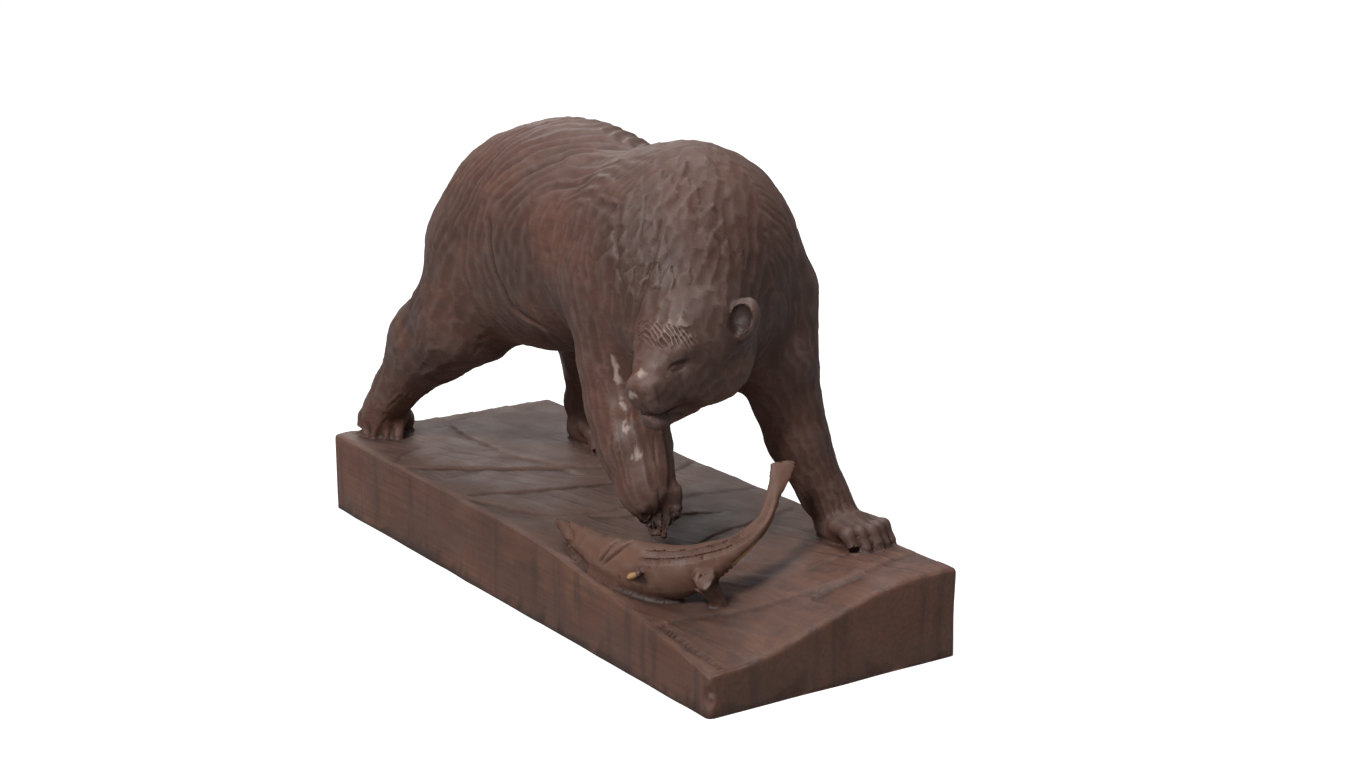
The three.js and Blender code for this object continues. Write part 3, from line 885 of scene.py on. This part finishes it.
# Flow of the fur: back along the spine, bending down over the flanks and shoulders
def body_flow(points, normals):
    behind = smoothstep(-80.0, -20.0, points[:, 1])
    fall_back = smoothstep(318.0, 258.0, points[:, 2])
    fall_front = smoothstep(326.0, 296.0, points[:, 2])
    fall = behind * fall_back + (1.0 - behind) * fall_front
    angle = 0.12 + 1.4 * fall + 0.16 * noise(points, 70.0, 7)
    directions = np.stack((np.zeros(len(points)), np.cos(angle), -np.sin(angle)), axis=1)
    return tangent(directions, normals)


def leg_flow(joints):
    def flow(points, normals):
        best = np.full(len(points), np.inf)
        directions = np.zeros_like(points)
        for start, end in zip(joints[:-1], joints[1:]):
            value = bone(points, start, end)
            closer = value < best
            best[closer] = value[closer]
            directions[closer] = unit(np.subtract(end[0], start[0]))
        return tangent(directions, normals)

    return flow


def neck_flow(points, normals):
    return tangent(np.tile((0.4, 0.1, 0.9), (len(points), 1)), normals)


def head_flow(points, normals):
    return tangent(np.tile(HEAD_UP * 0.35 - HEAD_FORWARD, (len(points), 1)), normals)


# Every sixth place along the fish is near enough for the flow of its cuts
fish_stops = fish_line[::6]
fish_stop_ahead = fish_ahead[::6]


def fish_flow(points, normals):
    nearest = np.argmin(np.linalg.norm(points[:, None, :] - fish_stops[None, :, :], axis=2), axis=1)
    return tangent(fish_stop_ahead[nearest], normals)


points = read_points(mesh)
normals = read_normals(mesh)
found = distances(points)
names = list(found)
owner = np.argmin(np.stack([found[name] for name in names]), axis=0)


def owned(*wanted):
    return np.isin(owner, [names.index(name) for name in wanted])


x, y, z = points.T
in_head = in_head_frame(points)
torso_points = owned("torso")
neck_points = torso_points & (y < -100) & (x < 22) & (z > 226)
shoulder_points = torso_points & (y < -40) & ~neck_points
back_points = torso_points & (y >= -40)
head_points = owned("head")
in_ear = np.zeros(len(points), bool)
in_ear[head_points] = ears(points[head_points]) < 2.0
brow_points = head_points & (in_head[:, 0] > -58) & (in_head[:, 0] < -27) & (in_head[:, 2] > 19)
plinth_points = owned("plinth")
ground_points = plinth_points & (normals[:, 2] > 0.6)

# Gouge runs laid side by side. Each lane is one gouge wide and is cut in runs, and a crest is left
# between two lanes.
CHANCE_RATES = (12.9898, 78.233, 37.719)
CHANCE_SPREAD = 43758.5453
# The share of a lane's width that its steep side takes
LANE_STEEP = 0.3


def chance_of(*numbers):
    """An even chance from 0 to 1, fixed for each set of whole numbers."""
    total = sum(number * rate for number, rate in zip(numbers, CHANCE_RATES))
    value = np.sin(total) * CHANCE_SPREAD
    return value - np.floor(value)


def lanes(across, along, pitch, length, depth, seed):
    """Depth of the runs, from the place across the lanes and along them."""
    lane = np.floor(across / pitch)
    side = across / pitch - lane
    run = along / length + chance_of(lane, seed)
    start = np.floor(run)
    part = run - start
    deep = 0.6 + 0.55 * chance_of(lane, start, seed)
    ends = smoothstep(0.0, 0.15, part) * (1.0 - smoothstep(0.7, 1.0, part))
    scoop = np.minimum(side / LANE_STEEP, (1.0 - side) / (1.0 - LANE_STEEP))
    return depth * deep * (2.0 - scoop) * scoop * (0.4 + 0.6 * ends)


def around(points, start, end, radius):
    """Run round an axis and along it, both in millimetres."""
    axis = unit(np.subtract(end, start))
    first = unit(np.cross(axis, (0.0, 1.0, 0.2)))
    second = np.cross(axis, first)
    offset = points - start
    return np.arctan2(offset @ second, offset @ first) * radius, offset @ axis


# The runs over the back and those over the shoulders bend round these two middles
SWEEP_MIDDLE = np.array((-85.0, -70.0, 222.0))
COLLAR_MIDDLE = np.array((-25.0, -215.0, 215.0))
right_half = points * (-1, 1, 1)
right_half[:, 0] = -np.abs(points[:, 0])
wobble = noise(points, 45.0, 7)
ripple = noise(points, 16.0, 6)


def slope_on_skin(offset, facing):
    """How fast the distance to a middle changes along the skin, from 0 where it faces the middle."""
    return np.sqrt(np.maximum(1.0 - np.sum(unit(offset) * facing, axis=1) ** 2, 0.0))


right_facing = normals * np.where(x > 0, -1.0, 1.0)[:, None] * (1, 0, 0) + normals * (0, 1, 1)
sweep = np.linalg.norm(right_half - SWEEP_MIDDLE, axis=1)
sweep_slope = smoothstep(0.35, 0.7, slope_on_skin(right_half - SWEEP_MIDDLE, right_facing))
turn = np.arctan2(z - SWEEP_MIDDLE[2], y - SWEEP_MIDDLE[1])
sweep_across = sweep + 2.6 * wobble + 0.8 * ripple
back_cuts = lanes(sweep_across, turn * 120.0, pitch=9.2, length=80.0, depth=2.0, seed=1) * sweep_slope
back_cuts *= 0.45 + 0.55 * smoothstep(250.0, 285.0, z)

lean = 0.41 * smoothstep(-10.0, -90.0, y)
flank = y - lean * (z - 235.0) + 3.0 * wobble + 1.3 * ripple
flank_cuts = lanes(flank, z + 12.0 * ripple, pitch=8.0, length=40.0, depth=0.8, seed=2)
flank_cuts *= smoothstep(300.0, 270.0, z)

collar = np.linalg.norm(points - COLLAR_MIDDLE, axis=1)
collar_turn = np.arctan2(z - COLLAR_MIDDLE[2], x - COLLAR_MIDDLE[0])
collar_across = collar + 2.2 * wobble + 0.6 * ripple
collar_cuts = lanes(collar_across, collar_turn * 90.0, pitch=6.0, length=48.0, depth=1.0, seed=3)
collar_cuts *= smoothstep(0.35, 0.7, slope_on_skin(points - COLLAR_MIDDLE, normals))

# Lanes of each leg: the radius they are measured at, the pitch, a run's length and its depth
leg_cuts = {}
LEG_LANES = {
    "hind_right": (40, 10.0, 36, 1.1),
    "hind_left": (32, 8.5, 30, 0.9),
    "fore_right": (31, 6.8, 50, 0.9),
    "fore_left": (28, 10.0, 40, 0.6),
}
for number, (name, (radius, pitch, length, depth)) in enumerate(LEG_LANES.items()):
    joints = LEGS[name]
    about, down = around(points, joints[1][0], joints[-1][0], radius)
    about = about + 3.0 * wobble + 1.6 * ripple
    leg_cuts[name] = lanes(about, down + 9.0 * ripple, pitch, length, depth, 4 + number)

upper = np.maximum((z - 278.0) / 20.0, (y + 15.0) / 45.0)
on_sweep = smoothstep(0.0, 1.0, upper)
on_collar = smoothstep(-45.0, -75.0, y) * smoothstep(-8.0, 18.0, x)
on_collar = np.maximum(on_collar, smoothstep(-70.0, -95.0, y) * smoothstep(296.0, 306.0, z))
torso_cuts = back_cuts * on_sweep + flank_cuts * (1.0 - on_sweep)
torso_cuts = torso_cuts * (1.0 - on_collar) + collar_cuts * on_collar

# Where a leg leaves the body its own lanes take over bit by bit
legs = np.stack([found[name] for name in LEGS])
leg_gap = legs.min(axis=0) - found["torso"]
on_leg = smoothstep(4.0, -10.0, leg_gap)
nearest_leg = np.argmin(legs, axis=0)
own_leg_cuts = np.choose(nearest_leg, [leg_cuts[name] for name in LEGS])
body_cuts = torso_cuts * (1.0 - on_leg) + own_leg_cuts * on_leg
body_points = owned("torso", *LEGS)
body_cuts *= body_points

# The comb of short hair cut over the eyes, in the head's own frame
COMB_ACROSS = (-0.79, 0.51, 0.30)
COMB_ALONG = (0.33, 0.80, -0.50)
COMB_MIDDLE = (-45, 8, 35)
COMB_RADII = (28.0, 36.0, 23.0)
sided = in_head.copy()
sided[:, 1] = np.abs(sided[:, 1] + 8.0) - 8.0
comb_across = sided @ COMB_ACROSS + 0.7 * noise(points, 14.0, 13)
comb = lanes(comb_across, sided @ COMB_ALONG, pitch=2.6, length=10.0, depth=1.5, seed=9)
comb_room = np.linalg.norm((in_head - COMB_MIDDLE) / COMB_RADII, axis=1)
comb_edge = comb_room + 0.12 * noise(points, 9.0, 14)
comb *= (head_points & ~in_ear) * (1.0 - smoothstep(0.75, 1.05, comb_edge))

# Broad planes of the ground, cut along the block
ground_across = 0.93 * x + 0.37 * y + 7.0 * noise(points * (1, 1, 0), 90.0, 8)
ground_along = 0.37 * x - 0.93 * y
ground_cuts = lanes(ground_across, ground_along, pitch=17.0, length=95.0, depth=0.7, seed=11)
fine_across = ground_across * 1.02 + 0.1 * ground_along
ground_cuts += lanes(fine_across, ground_along, pitch=7.0, length=60.0, depth=0.3, seed=12)
ground_cuts *= ground_points

# Each set of single strokes: where it lies, its flow, spacing along and across, and a stroke's
# length, width and depth
STROKES = (
    (owned("hind_right"), leg_flow(HIND_RIGHT_LEG), 26, 12.0, 44, 18.0, 1.5),
    (owned("hind_left"), leg_flow(HIND_LEFT_LEG), 20, 10.0, 36, 15.0, 1.1),
    (owned("fore_right"), leg_flow(FORE_RIGHT_LEG), 26, 7.0, 60, 12.0, 1.5),
    (neck_points, neck_flow, 14, 7.0, 28, 11.0, 1.0),
    (back_points | shoulder_points, body_flow, 24, 12.0, 44, 15.0, 0.9),
    (head_points & ~brow_points & ~in_ear, head_flow, 10, 5.5, 18, 9.0, 0.5),
    (owned("raised_paw"), leg_flow(FORE_RIGHT_LEG), 12, 6.0, 24, 10.0, 0.9),
    (owned("fish"), fish_flow, 18, 7.0, 36, 12.0, 0.75),
)

cells = hash_cells(points)
cuts = np.maximum(body_cuts * ~neck_points, comb)
cuts = np.maximum(cuts, ground_cuts)
for number, (chosen, flow, along, across, length, width, depth) in enumerate(STROKES):
    chosen = np.flatnonzero(chosen)
    directions = np.zeros_like(points)
    directions[chosen] = flow(points[chosen], normals[chosen])
    seeds = spread_seeds(points, normals, directions, chosen, along, across, 10 + number)
    cut = stroke_cuts(points, normals, cells, seeds, flow, length, width, depth, 40 + number)
    cuts = np.maximum(cuts, cut)

# Pointed tufts on the neck
chosen = np.flatnonzero(neck_points & (x < 0) & (found["head"] > 10) & (noise(points, 45.0, 12) > -0.3))
directions = np.zeros_like(points)
directions[chosen] = neck_flow(points[chosen], normals[chosen])
seeds = spread_seeds(points, normals, directions, chosen, length=13, width=8, seed=70)
tufts = relief_stamps(points, normals, cells, seeds, neck_flow, length=23, width=9, height=1.2, seed=71)

# Creases where one mass overlaps another, each a path, a width and a depth
NECK_CREASE = ((-40, -127, 290), (-53, -135, 269), (-60, -136, 254), (-67, -137, 238), (-71, -132, 216))
FLANK_CREASE = (
    (-73, 44, 268),
    (-77, 38, 233),
    (-72, 33, 215),
    (-64, 29, 200),
    (-54, 14, 191),
    (-43, 3, 185),
)
PAW_CREASE = ((-48, -125, 146), (-54, -137, 129), (-56, -144, 104), (-49, -138, 87))
CREASES = ((NECK_CREASE, 6, 1.4), (FLANK_CREASE, 10, 3.5), (PAW_CREASE, 3.5, 0.8))
GILL_WIDTH = 3.6
GILL_DEPTH = 2.8
creases = np.zeros(len(points))
for path, width, depth in CREASES:
    creases = np.maximum(creases, groove(points, path, width, depth))
for path in GILLS:
    creases = np.maximum(creases, groove(points, path, GILL_WIDTH, GILL_DEPTH) * owned("fish"))

# The lids over each eye, in the head's own frame
LID = ((-20, 13.5, 9.0), (-24, 16, 11.2), (-29, 18.5, 11.8), (-34, 20.5, 9.8))
UNDER_LID = ((-22, 14.5, 7.4), (-27, 17.5, 6.6), (-32, 20, 7.4))
LID_WIDTH = 3.0
LID_DEPTH = 0.8
for side in BOTH_SIDES:
    for lid in (LID, UNDER_LID):
        path = NOSE_TIP + (np.array(lid) * (1, side, 1)) @ HEAD_AXES
        creases = np.maximum(creases, groove(points, path, LID_WIDTH, LID_DEPTH) * head_points)

# A row of short slanting cuts on the plinth's top
ROW_START = np.array((-90.5, -201.0, 41.0))
ROW_END = np.array((-87.0, -259.0, 30.0))
ROW_CUTS = 19
ROW_CUT_WIDTH = 2.2
ROW_CUT_DEPTH = 1.3
row_chance = np.random.default_rng(SEED + 90)
row_marks = np.zeros(len(points))
for number in range(ROW_CUTS):
    middle = ROW_START + (ROW_END - ROW_START) * number / (ROW_CUTS - 1)
    slant = row_chance.uniform(-0.5, 0.9)
    half = row_chance.uniform(2.2, 4.0)
    reach = np.array((1.0, slant, 0.1)) * half
    path = (middle - reach, middle + (0.0, row_chance.uniform(-1.2, 1.2), 0.0), middle + reach)
    row_marks = np.maximum(row_marks, groove(points, path, ROW_CUT_WIDTH, ROW_CUT_DEPTH))
row_marks *= ground_points

UNEVENNESS = 0.25
lift = tufts - cuts - creases - row_marks + UNEVENNESS * noise(points, 18.0, 9) * ~plinth_points
lift[underside] = 0.0
points = points + normals * lift[:, None]
points[underside, 2] = 0.0
write_points(mesh, points)

# Thinned to what the form needs
MOST_TRIANGLES = 196000
triangles = sum(len(polygon.vertices) - 2 for polygon in mesh.polygons)
apply_modifier(carving, "DECIMATE", ratio=min(1.0, MOST_TRIANGLES / triangles))
mesh = carving.data
bpy.ops.object.shade_smooth()

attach(carving, "root")
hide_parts("bear_with_fish_on_plinth")

# Marks of the finished surface, kept on its points: crests with a painted highlight, hollows and deep
# places with painted shade, worn and raw places.
# Each point is measured against the middle of its near neighbours and of a wider ring of them.
FINE_ROUNDS = 5
BROAD_ROUNDS = 60
edges = read_edges(mesh)
points = read_points(mesh)
normals = read_normals(mesh)
fine = np.sum((points - relaxed(points, edges, FINE_ROUNDS)) * normals, axis=1)
broad = np.sum((points - relaxed(points, edges, BROAD_ROUNDS)) * normals, axis=1)

# Places rubbed or knocked down to pale wood, each (place, radius)
WORN_SPOTS = (
    ((-83, -165, 196), 4),
    ((-91, -164, 183), 4),
    ((-67, -103, 189), 4),
    ((-66, -106, 178), 5),
    ((-66, -112, 163), 4),
    ((-67, -118, 149), 4),
    ((-64, -128, 131), 4),
    ((-100, -265, 13), 5),
    ((-59, -205, 61), 4),
)


def fish_place(share, across, up):
    """A place on the fish: the share from snout to tail, then the offset across and up."""
    index = round(share * (FISH_SAMPLES - 1))
    return fish_line[index] + fish_across[index] * across + fish_up[index] * up


# Fresh breaks that show raw wood, each a splinter from one end to the other and its half width
RAW_BREAKS = (
    ((-90, -157, 60), (-94, -172, 67), 3.2),
    (fish_place(0.635, -4, -5.5), fish_place(0.745, -3, -4), 3.8),
)


def splinters(breaks, ragged):
    found = np.zeros(len(points))
    for start, end, half in breaks:
        along = np.subtract(end, start).astype(float)
        share = np.clip((points - start) @ along / (along @ along), 0.0, 1.0)
        gap = np.linalg.norm(points - start - share[:, None] * along, axis=1)
        narrow = half * (1.0 - np.abs(2.0 * share - 1.0) ** 3)
        found = np.maximum(found, 1.0 - gap / np.maximum(narrow, 0.1) + ragged)
    return smoothstep(0.0, 0.3, found)


def spots(places, ragged):
    found = np.zeros(len(points))
    for place, radius in places:
        gap = np.linalg.norm(points - place, axis=1) / radius
        found = np.maximum(found, 1.0 - gap + ragged)
    return smoothstep(0.1, 0.3, found)


def keep_mark(name, values):
    attribute = mesh.attributes.new(name, "FLOAT", "POINT")
    attribute.data.foreach_set("value", np.asarray(values, np.float32))


# The crests of the comb are rubbed pale too
BROW_MIDDLE = (-40, 10, 28)
BROW_RADIUS = 20.0
BROW_WEAR = 0.6
from_brow = (in_head_frame(points) - BROW_MIDDLE) / (1.0, 1.4, 1.0)
on_brow = 1.0 - smoothstep(0.0, BROW_RADIUS, np.linalg.norm(from_brow, axis=1))
worn_comb = BROW_WEAR * smoothstep(0.1, 0.7, on_brow) * smoothstep(0.08, 0.3, fine)
worn = np.maximum(spots(WORN_SPOTS, 0.45 * noise(points, 5.0, 20)), worn_comb)
on_plinth = plinth(points) < 1.5
# Crests between cuts get a painted highlight, less of it on the plinth.
keep_mark("painted_crest_highlight", np.clip(fine / 0.35, 0.0, 1.0) * (1.0 - 0.8 * on_plinth))
# Hollows between cuts and broad deep places are darkened as painted shade.
keep_mark("hollow", np.clip(-fine / 0.5, 0.0, 1.0))
keep_mark("deep", np.clip(-broad / 3.0, 0.0, 1.0))
keep_mark("worn", worn)
keep_mark("raw", splinters(RAW_BREAKS, 0.15 * noise(points, 5.0, 21)))

# Painted shade: the colour is darker on the broken claws over the fish and on the left forefoot
x, y, z = points.T
from_wrist = points - WRIST
on_raised_paw = (np.abs(from_wrist @ PAW_ACROSS) < 30.0) & (z > 84)
painted_paw_shade = smoothstep(8.0, 24.0, from_wrist @ PAW_DOWN) * on_raised_paw
left_foot_shade = 0.5 * smoothstep(120.0, 80.0, z) * (x > 40) * (y < -125)
keep_mark("painted_paw_shade", np.maximum(painted_paw_shade, left_foot_shade) * (1.0 - on_plinth))
keep_mark("plinth", on_plinth)
_, room_low, room_high = MASSES["fish"]
fish_room = np.all((points > room_low) & (points < room_high), axis=1)
on_fish = np.zeros(len(points))
on_fish[fish_room] = fish(points[fish_room]) < 1.2
keep_mark("fish", on_fish * (1.0 - on_plinth))
# On the plinth the grey of dust and painted sheen fades towards the front, which is left darker as painted
# shade.
keep_mark("plinth_sheen_and_dust", on_plinth * (0.05 + 0.95 * smoothstep(-200.0, -40.0, y)))

# Dark stained wood: patches of red and orange brown, long grain, and a pale grey film where it faces up,
# part dust and part painted sheen
wood = bpy.data.materials.new("stained_wood")
wood.use_nodes = True
nodes = wood.node_tree.nodes
links = wood.node_tree.links
shader = nodes["Principled BSDF"]


def fill(socket, value):
    if isinstance(value, bpy.types.NodeSocket):
        links.new(value, socket)
    else:
        socket.default_value = value


def mark(name):
    node = nodes.new("ShaderNodeAttribute")
    node.attribute_name = name
    return node.outputs["Fac"]


def math_of(operation, a, b=0.0, clamp=False):
    node = nodes.new("ShaderNodeMath")
    node.operation = operation
    node.use_clamp = clamp
    fill(node.inputs[0], a)
    fill(node.inputs[1], b)
    return node.outputs[0]


def spread_of(value, low, high, to_low=0.0, to_high=1.0):
    node = nodes.new("ShaderNodeMapRange")
    node.interpolation_type = "SMOOTHSTEP"
    fill(node.inputs["Value"], value)
    node.inputs["From Min"].default_value = low
    node.inputs["From Max"].default_value = high
    node.inputs["To Min"].default_value = to_low
    node.inputs["To Max"].default_value = to_high
    return node.outputs["Result"]


def colour_mix(share, a, b, kind="MIX"):
    node = nodes.new("ShaderNodeMix")
    node.data_type = "RGBA"
    node.blend_type = kind
    fill(node.inputs["Factor"], share)
    fill(node.inputs["A"], a)
    fill(node.inputs["B"], b)
    return node.outputs["Result"]


place_on = nodes.new("ShaderNodeTexCoord")


def clouds(scale, stretch=(1, 1, 1), detail=3.0, rough=0.55):
    mapping = nodes.new("ShaderNodeMapping")
    links.new(place_on.outputs["Object"], mapping.inputs["Vector"])
    mapping.inputs["Scale"].default_value = stretch
    node = nodes.new("ShaderNodeTexNoise")
    links.new(mapping.outputs["Vector"], node.inputs["Vector"])
    node.inputs["Scale"].default_value = scale
    node.inputs["Detail"].default_value = detail
    node.inputs["Roughness"].default_value = rough
    return node.outputs["Fac"]


# The deepest brown is painted shade.
PAINTED_SHADE_BROWN = (0.012, 0.006, 0.005, 1)
DARK_BROWN = (0.037, 0.0175, 0.0135, 1)
RED_BROWN = (0.082, 0.033, 0.0225, 1)
ORANGE_BROWN = (0.122, 0.054, 0.03, 1)
# A grey that is part dust and part painted sheen and highlight.
GREY_DUST_AND_SHEEN = (0.115, 0.078, 0.067, 1)
PALE_WORN = (0.22, 0.165, 0.14, 1)
RAW_WOOD = (0.34, 0.2, 0.085, 1)

GRAIN_STRENGTH = 0.35
GRAIN_HEIGHT = 0.0006

# Patches, grain along the block, dark runs down the plinth's walls, and a grey film on what faces up, part
# dust and part painted sheen
patches = spread_of(clouds(11.0), 0.3, 0.68)
warm = spread_of(clouds(17.0, (1, 1, 1.4)), 0.52, 0.7)
colour = colour_mix(patches, DARK_BROWN, RED_BROWN)
on_wall = math_of("MULTIPLY", mark("plinth"), 0.35)
colour = colour_mix(math_of("ADD", math_of("MULTIPLY", warm, 0.45), on_wall), colour, ORANGE_BROWN)
grain = clouds(1.0, (330, 16, 330), 4.0, 0.6)
colour = colour_mix(spread_of(grain, 0.35, 0.7, 0.0, 0.45), colour, DARK_BROWN)
streak = clouds(1.0, (75, 75, 6), 3.0, 0.6)
runs = math_of("MULTIPLY", spread_of(streak, 0.5, 0.66, 0.0, 0.6), mark("plinth"))
colour = colour_mix(runs, colour, DARK_BROWN)
facing = nodes.new("ShaderNodeSeparateXYZ")
links.new(place_on.outputs["Normal"], facing.inputs[0])
# Painted sheen, part dust: grey laid over faces that look up, less of it on the plinth.
on_body = math_of("SUBTRACT", 0.36, math_of("MULTIPLY", mark("plinth"), 0.24))
patchy = spread_of(clouds(30.0), 0.3, 0.7, 0.6, 1.0)
sheen_and_dust = math_of("MULTIPLY", spread_of(facing.outputs["Z"], 0.2, 1.0), patchy)
sheen_and_dust = math_of("MULTIPLY", sheen_and_dust, math_of("ADD", on_body, math_of("MULTIPLY", mark("plinth_sheen_and_dust"), 0.6)), True)
colour = colour_mix(math_of("MULTIPLY", mark("fish"), 0.5), colour, ORANGE_BROWN)
colour = colour_mix(sheen_and_dust, colour, GREY_DUST_AND_SHEEN)

# Then each mark in turn: how much of its colour it lays over the wood. The darkened paws, hollows and deep
# places are painted shade and the crests a painted highlight.
LAID_OVER = (
    ("painted_paw_shade", 0.6, PAINTED_SHADE_BROWN),
    ("painted_crest_highlight", 0.36, GREY_DUST_AND_SHEEN),
    ("hollow", 0.4, DARK_BROWN),
    ("deep", 0.6, PAINTED_SHADE_BROWN),
    ("worn", 1.0, PALE_WORN),
    ("raw", 1.0, RAW_WOOD),
)
for name, share, tint in LAID_OVER:
    colour = colour_mix(math_of("MULTIPLY", mark(name), share), colour, tint)
links.new(colour, shader.inputs["Base Color"])
links.new(spread_of(clouds(45.0), 0.3, 0.7, 0.52, 0.66), shader.inputs["Roughness"])
shader.inputs["Specular IOR Level"].default_value = 0.28
bump = nodes.new("ShaderNodeBump")
bump.inputs["Strength"].default_value = GRAIN_STRENGTH
bump.inputs["Distance"].default_value = GRAIN_HEIGHT
links.new(math_of("ADD", grain, clouds(260.0, (1, 0.5, 1), 4.0)), bump.inputs["Height"])
links.new(bump.outputs["Normal"], shader.inputs["Normal"])
carving.data.materials.clear()
carving.data.materials.append(wood)

# A pale floor and the soft light of a white room
FLOOR_SIZE = 40.0
FLOOR_GREY = (0.22, 0.215, 0.215, 1)
GLOW_ON_THE_WOOD = 0.22
GLOW_SEEN = 0.93
ROOM_LIGHT = 0.3
WHITE = (1, 1, 1, 1)
bpy.ops.mesh.primitive_plane_add(size=FLOOR_SIZE, location=(0, 0, 0))
floor = bpy.context.object
floor.name = "pale_floor"
floor_finish = bpy.data.materials.new("pale_floor")
floor_finish.use_nodes = True
floor_nodes = floor_finish.node_tree.nodes
floor_shader = floor_nodes["Principled BSDF"]
floor_shader.inputs["Base Color"].default_value = FLOOR_GREY
floor_shader.inputs["Roughness"].default_value = 0.9
floor_shader.inputs["Emission Color"].default_value = WHITE
seen = floor_nodes.new("ShaderNodeLightPath")
glow = floor_nodes.new("ShaderNodeMapRange")
glow.inputs["To Min"].default_value = GLOW_ON_THE_WOOD
glow.inputs["To Max"].default_value = GLOW_SEEN
floor_finish.node_tree.links.new(seen.outputs["Is Camera Ray"], glow.inputs["Value"])
floor_finish.node_tree.links.new(glow.outputs["Result"], floor_shader.inputs["Emission Strength"])
floor.data.materials.append(floor_finish)


def area_light(name, place, aim, size, power):
    data = bpy.data.lights.new(name, "AREA")
    data.shape = "DISK"
    data.size = size
    data.energy = power
    lamp = bpy.data.objects.new(name, data)
    bpy.context.collection.objects.link(lamp)
    lamp.location = place
    lamp.rotation_euler = (Vector(aim) - Vector(place)).to_track_quat("-Z", "Y").to_euler()


area_light("key", place=(-2.1, -0.9, 2.3), aim=(0, 0, 0.15), size=0.8, power=120)
area_light("overhead", place=(0.5, 0.3, 2.6), aim=(0, 0, 0.15), size=1.2, power=36)
area_light("behind", place=(0.9, 2.2, 1.5), aim=(0, 0, 0.1), size=1.2, power=12)

world = bpy.data.worlds.new("white_room")
bpy.context.scene.world = world
world.use_nodes = True
background = world.node_tree.nodes["Background"]
background.inputs["Color"].default_value = WHITE
background.inputs["Strength"].default_value = ROOM_LIGHT
bpy.context.scene.view_settings.view_transform = "Standard"

# Camera at the photograph's viewing angle
CAMERA_PLACE = (-0.8478, -1.3538, 0.5523)
CAMERA_LOOKS = Vector((0.539, 0.805, -0.248))
LENS = 60.6
SENSOR_WIDTH = 36.0
camera_data = bpy.data.cameras.new("camera")
camera_data.lens = LENS
camera_data.sensor_width = SENSOR_WIDTH
camera = bpy.data.objects.new("camera", camera_data)
bpy.context.collection.objects.link(camera)
camera.location = CAMERA_PLACE
camera.rotation_euler = CAMERA_LOOKS.to_track_quat("-Z", "Y").to_euler()
bpy.context.scene.camera = camera
